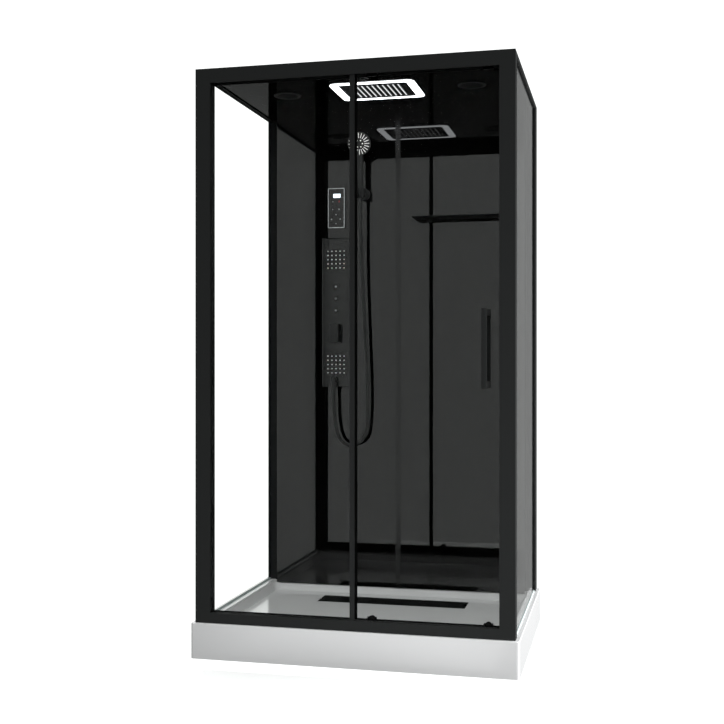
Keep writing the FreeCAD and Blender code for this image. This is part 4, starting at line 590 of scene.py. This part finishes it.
# ---------------------------------------------------------------- button signs
# Plain signs, pad-printed in pale grey on the three push-buttons. Each moves with its button.
def sign(corners, radius, at, hollow, squash=1.0, turn=0.0):
    """Flat printed sign that faces forward, raised by the ink's thickness."""
    ink_thickness, ring_share = 0.0002, 0.35
    mark = start("circle", vertices=corners, radius=radius, fill_type="NGON", location=at,
                 rotation=(math.pi / 2, turn, 0.0))
    bpy.ops.object.mode_set(mode="EDIT")
    bpy.ops.mesh.select_all(action="SELECT")
    bpy.ops.transform.resize(value=(1.0, 1.0, squash))
    if hollow:
        bpy.ops.mesh.inset(thickness=radius * ring_share)
        bpy.ops.mesh.delete(type="FACE")
        bpy.ops.mesh.select_all(action="SELECT")
    bpy.ops.mesh.extrude_region_move(
        TRANSFORM_OT_translate={"value": (0.0, -ink_thickness, 0.0)})
    bpy.ops.mesh.select_all(action="SELECT")
    bpy.ops.mesh.normals_make_consistent(inside=False)
    bpy.ops.object.mode_set(mode="OBJECT")
    return mark


# Ink lies flat and even, a little duller than the plastic round it.
ink = finish("pale grey pad-printed ink", "B9BDBE", IOR=1.45)
grain(ink, 0.7, 0.004, (0.4, 0.5), ("B2B6B7", "C3C7C8"))
button_face, button_sign_radius = 0.3395, 0.0042
# Each button's number and height, and its sign's corners, hollow middle and squash.
for number, height, corners, hollow, squash in (
        (1, 1.410, 6, False, 1.0), (2, 1.3585, 20, True, 1.0), (3, 1.308, 20, False, 0.55)):
    button_sign = sign(corners, button_sign_radius, (column_x, button_face, height), hollow,
                       squash)
    seat(button_sign, "button_sign_%d" % number, ink, "push_button_%d" % number)

# ---------------------------------------------------------------- hand shower
# Black shell with a black spray plate; its soft white nozzles stand 1 mm proud of the plate.
head_tilt = math.radians(14.0)
head_look = Vector((0.0, -math.cos(head_tilt), -math.sin(head_tilt)))
head_centre = Vector((-0.143, 0.275, 2.005))
plate_level = head_centre.dot(head_look) + 0.0001
# Fine-etched plastic is even and dull, so the waxy white of the nozzles stands out from it.
spray = finish("black spray plate with white nozzles", "111212", IOR=1.4)
grain(spray, 0.9, 0.01, (0.35, 0.5))
spray_place = add(spray, "TexCoord", {}, {})
proud = add(spray, "VectorMath", {"operation": "DOT_PRODUCT", 1: head_look},
            {0: spray_place.outputs["Object"]})
is_nozzle = add(spray, "Math", {"operation": "GREATER_THAN", 1: plate_level},
                {0: proud.outputs["Value"]})
two_tone(spray, is_nozzle.outputs[0], "F6F6F4")
dress(spray, "handset_face")

# ---------------------------------------------------------------- control panel
# Black glass front in a polished frame, with a lit display and touch keys. The keys are only
# signs, screen-printed on the glass.
# Panel glass is hard and clear, with the faint ripple of its drawn sheet.
panel_glass = finish("black panel glass", "0B0C0D", IOR=1.45)
grain(panel_glass, 40.0, 0.003, (0.03, 0.07), ("0A0B0C", "0D0E0F"))
dress(panel_glass, "control_housing")
# Bright plating mirrors the dark cabin and the white room in streaks.
chrome = finish("bright chrome plating", "C9CCCF", Metallic=1.0)
grain(chrome, 20.0, 0.005, (0.06, 0.14), ("C4C7CA", "CED1D4"))
dress(chrome, "control_frame")
# A lit display is an even cool white, brighter than anything on the panel.
display = finish("lit display window", "DDE8EE", Emission_Color=linear("EAF6FF"),
                 Emission_Strength=1.4, Roughness=0.2)
dress(display, "control_display")
# Screen-printed ink is thick and flat, so the red keeps its strength on the black.
key_red = finish("red screen-printed ink", "C2242C", IOR=1.45)
grain(key_red, 0.7, 0.004, (0.4, 0.5), ("B8202A", "CC2A32"))
panel_middle, panel_top, panel_face = -0.2635, 1.834, 0.3535


def key(across, down, corners, radius, hollow, turn=0.0):
    """One key's sign, in millimetres from the middle of the panel's top edge."""
    at = (panel_middle + across / 1000.0, panel_face, panel_top - down / 1000.0)
    return sign(corners, radius / 1000.0, at, hollow, 1.0, math.radians(turn))


key_signs = [key(-15, 57, 20, 2.4, True), key(-15, 91, 3, 2.6, False),
             key(13, 91, 8, 3.0, False), key(-1, 113, 20, 2.2, False),
             key(-21, 133, 4, 3.0, False), key(18, 133, 6, 2.9, False),
             key(-1, 152, 3, 2.8, True, 180.0)]
seat(joined(key_signs), "key_signs", ink, "root")
seat(key(13, 57, 20, 3.0, True), "power_sign", key_red, "root")

# ---------------------------------------------------------------- steam generator
# Folded stainless case hung on the rear bars. Its cover has pressed louvres that let the
# heat out and is held by four pan-head screws.
# Brushing draws the grain out along the case, so light lies on it in bands.
brushed = finish("brushed stainless steel", "A4A6A8", Metallic=1.0)
grain(brushed, 0.8, 0.01, (0.25, 0.4), ("9EA0A2", "ACAEB0"), (40.0, 1.0, 1.0))
dress(brushed, "steam_generator")
case_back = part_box("steam_generator")[1][1]


def outer_edge(edge):
    """Whether both of the louvre's corners on this edge lie at its top and back."""
    ends = [louvre.data.vertices[index].co for index in edge.vertices]
    return all(end.y > 0 and end.z > 0 for end in ends)


louvre_size, louvre_rounding, louvre_count = (0.11, 0.006, 0.008), 0.0028, 7
louvre = start("cube", size=1.0, location=(0.0, 0.0, 0.0), scale=louvre_size)
pick("EDGE", louvre.data.edges, outer_edge)
bpy.ops.mesh.bevel(offset=louvre_rounding, segments=4)
bpy.ops.object.mode_set(mode="OBJECT")
bpy.ops.object.shade_smooth_by_angle(angle=math.radians(40.0))
case_middle, top_louvre, louvre_pitch, louvre_sunk = 0.25, 1.06, 0.016, 0.0005
louvre_places = [(case_middle, case_back - louvre_sunk, top_louvre - row * louvre_pitch)
                 for row in range(louvre_count)]
seat(repeat(louvre, louvre_places), "case_louvres", brushed, "root")
screw_head = nozzle(radius=0.0042, height=0.0022, turn=Matrix.Rotation(-math.pi / 2, 4, "X"))
screw_across, screw_heights = (0.105, 0.395), (0.915, 1.125)
screw_places = [(across, case_back, height) for across in screw_across
                for height in screw_heights]
seat(repeat(screw_head, screw_places), "case_screws", pressed_steel, "root")

low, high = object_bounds()
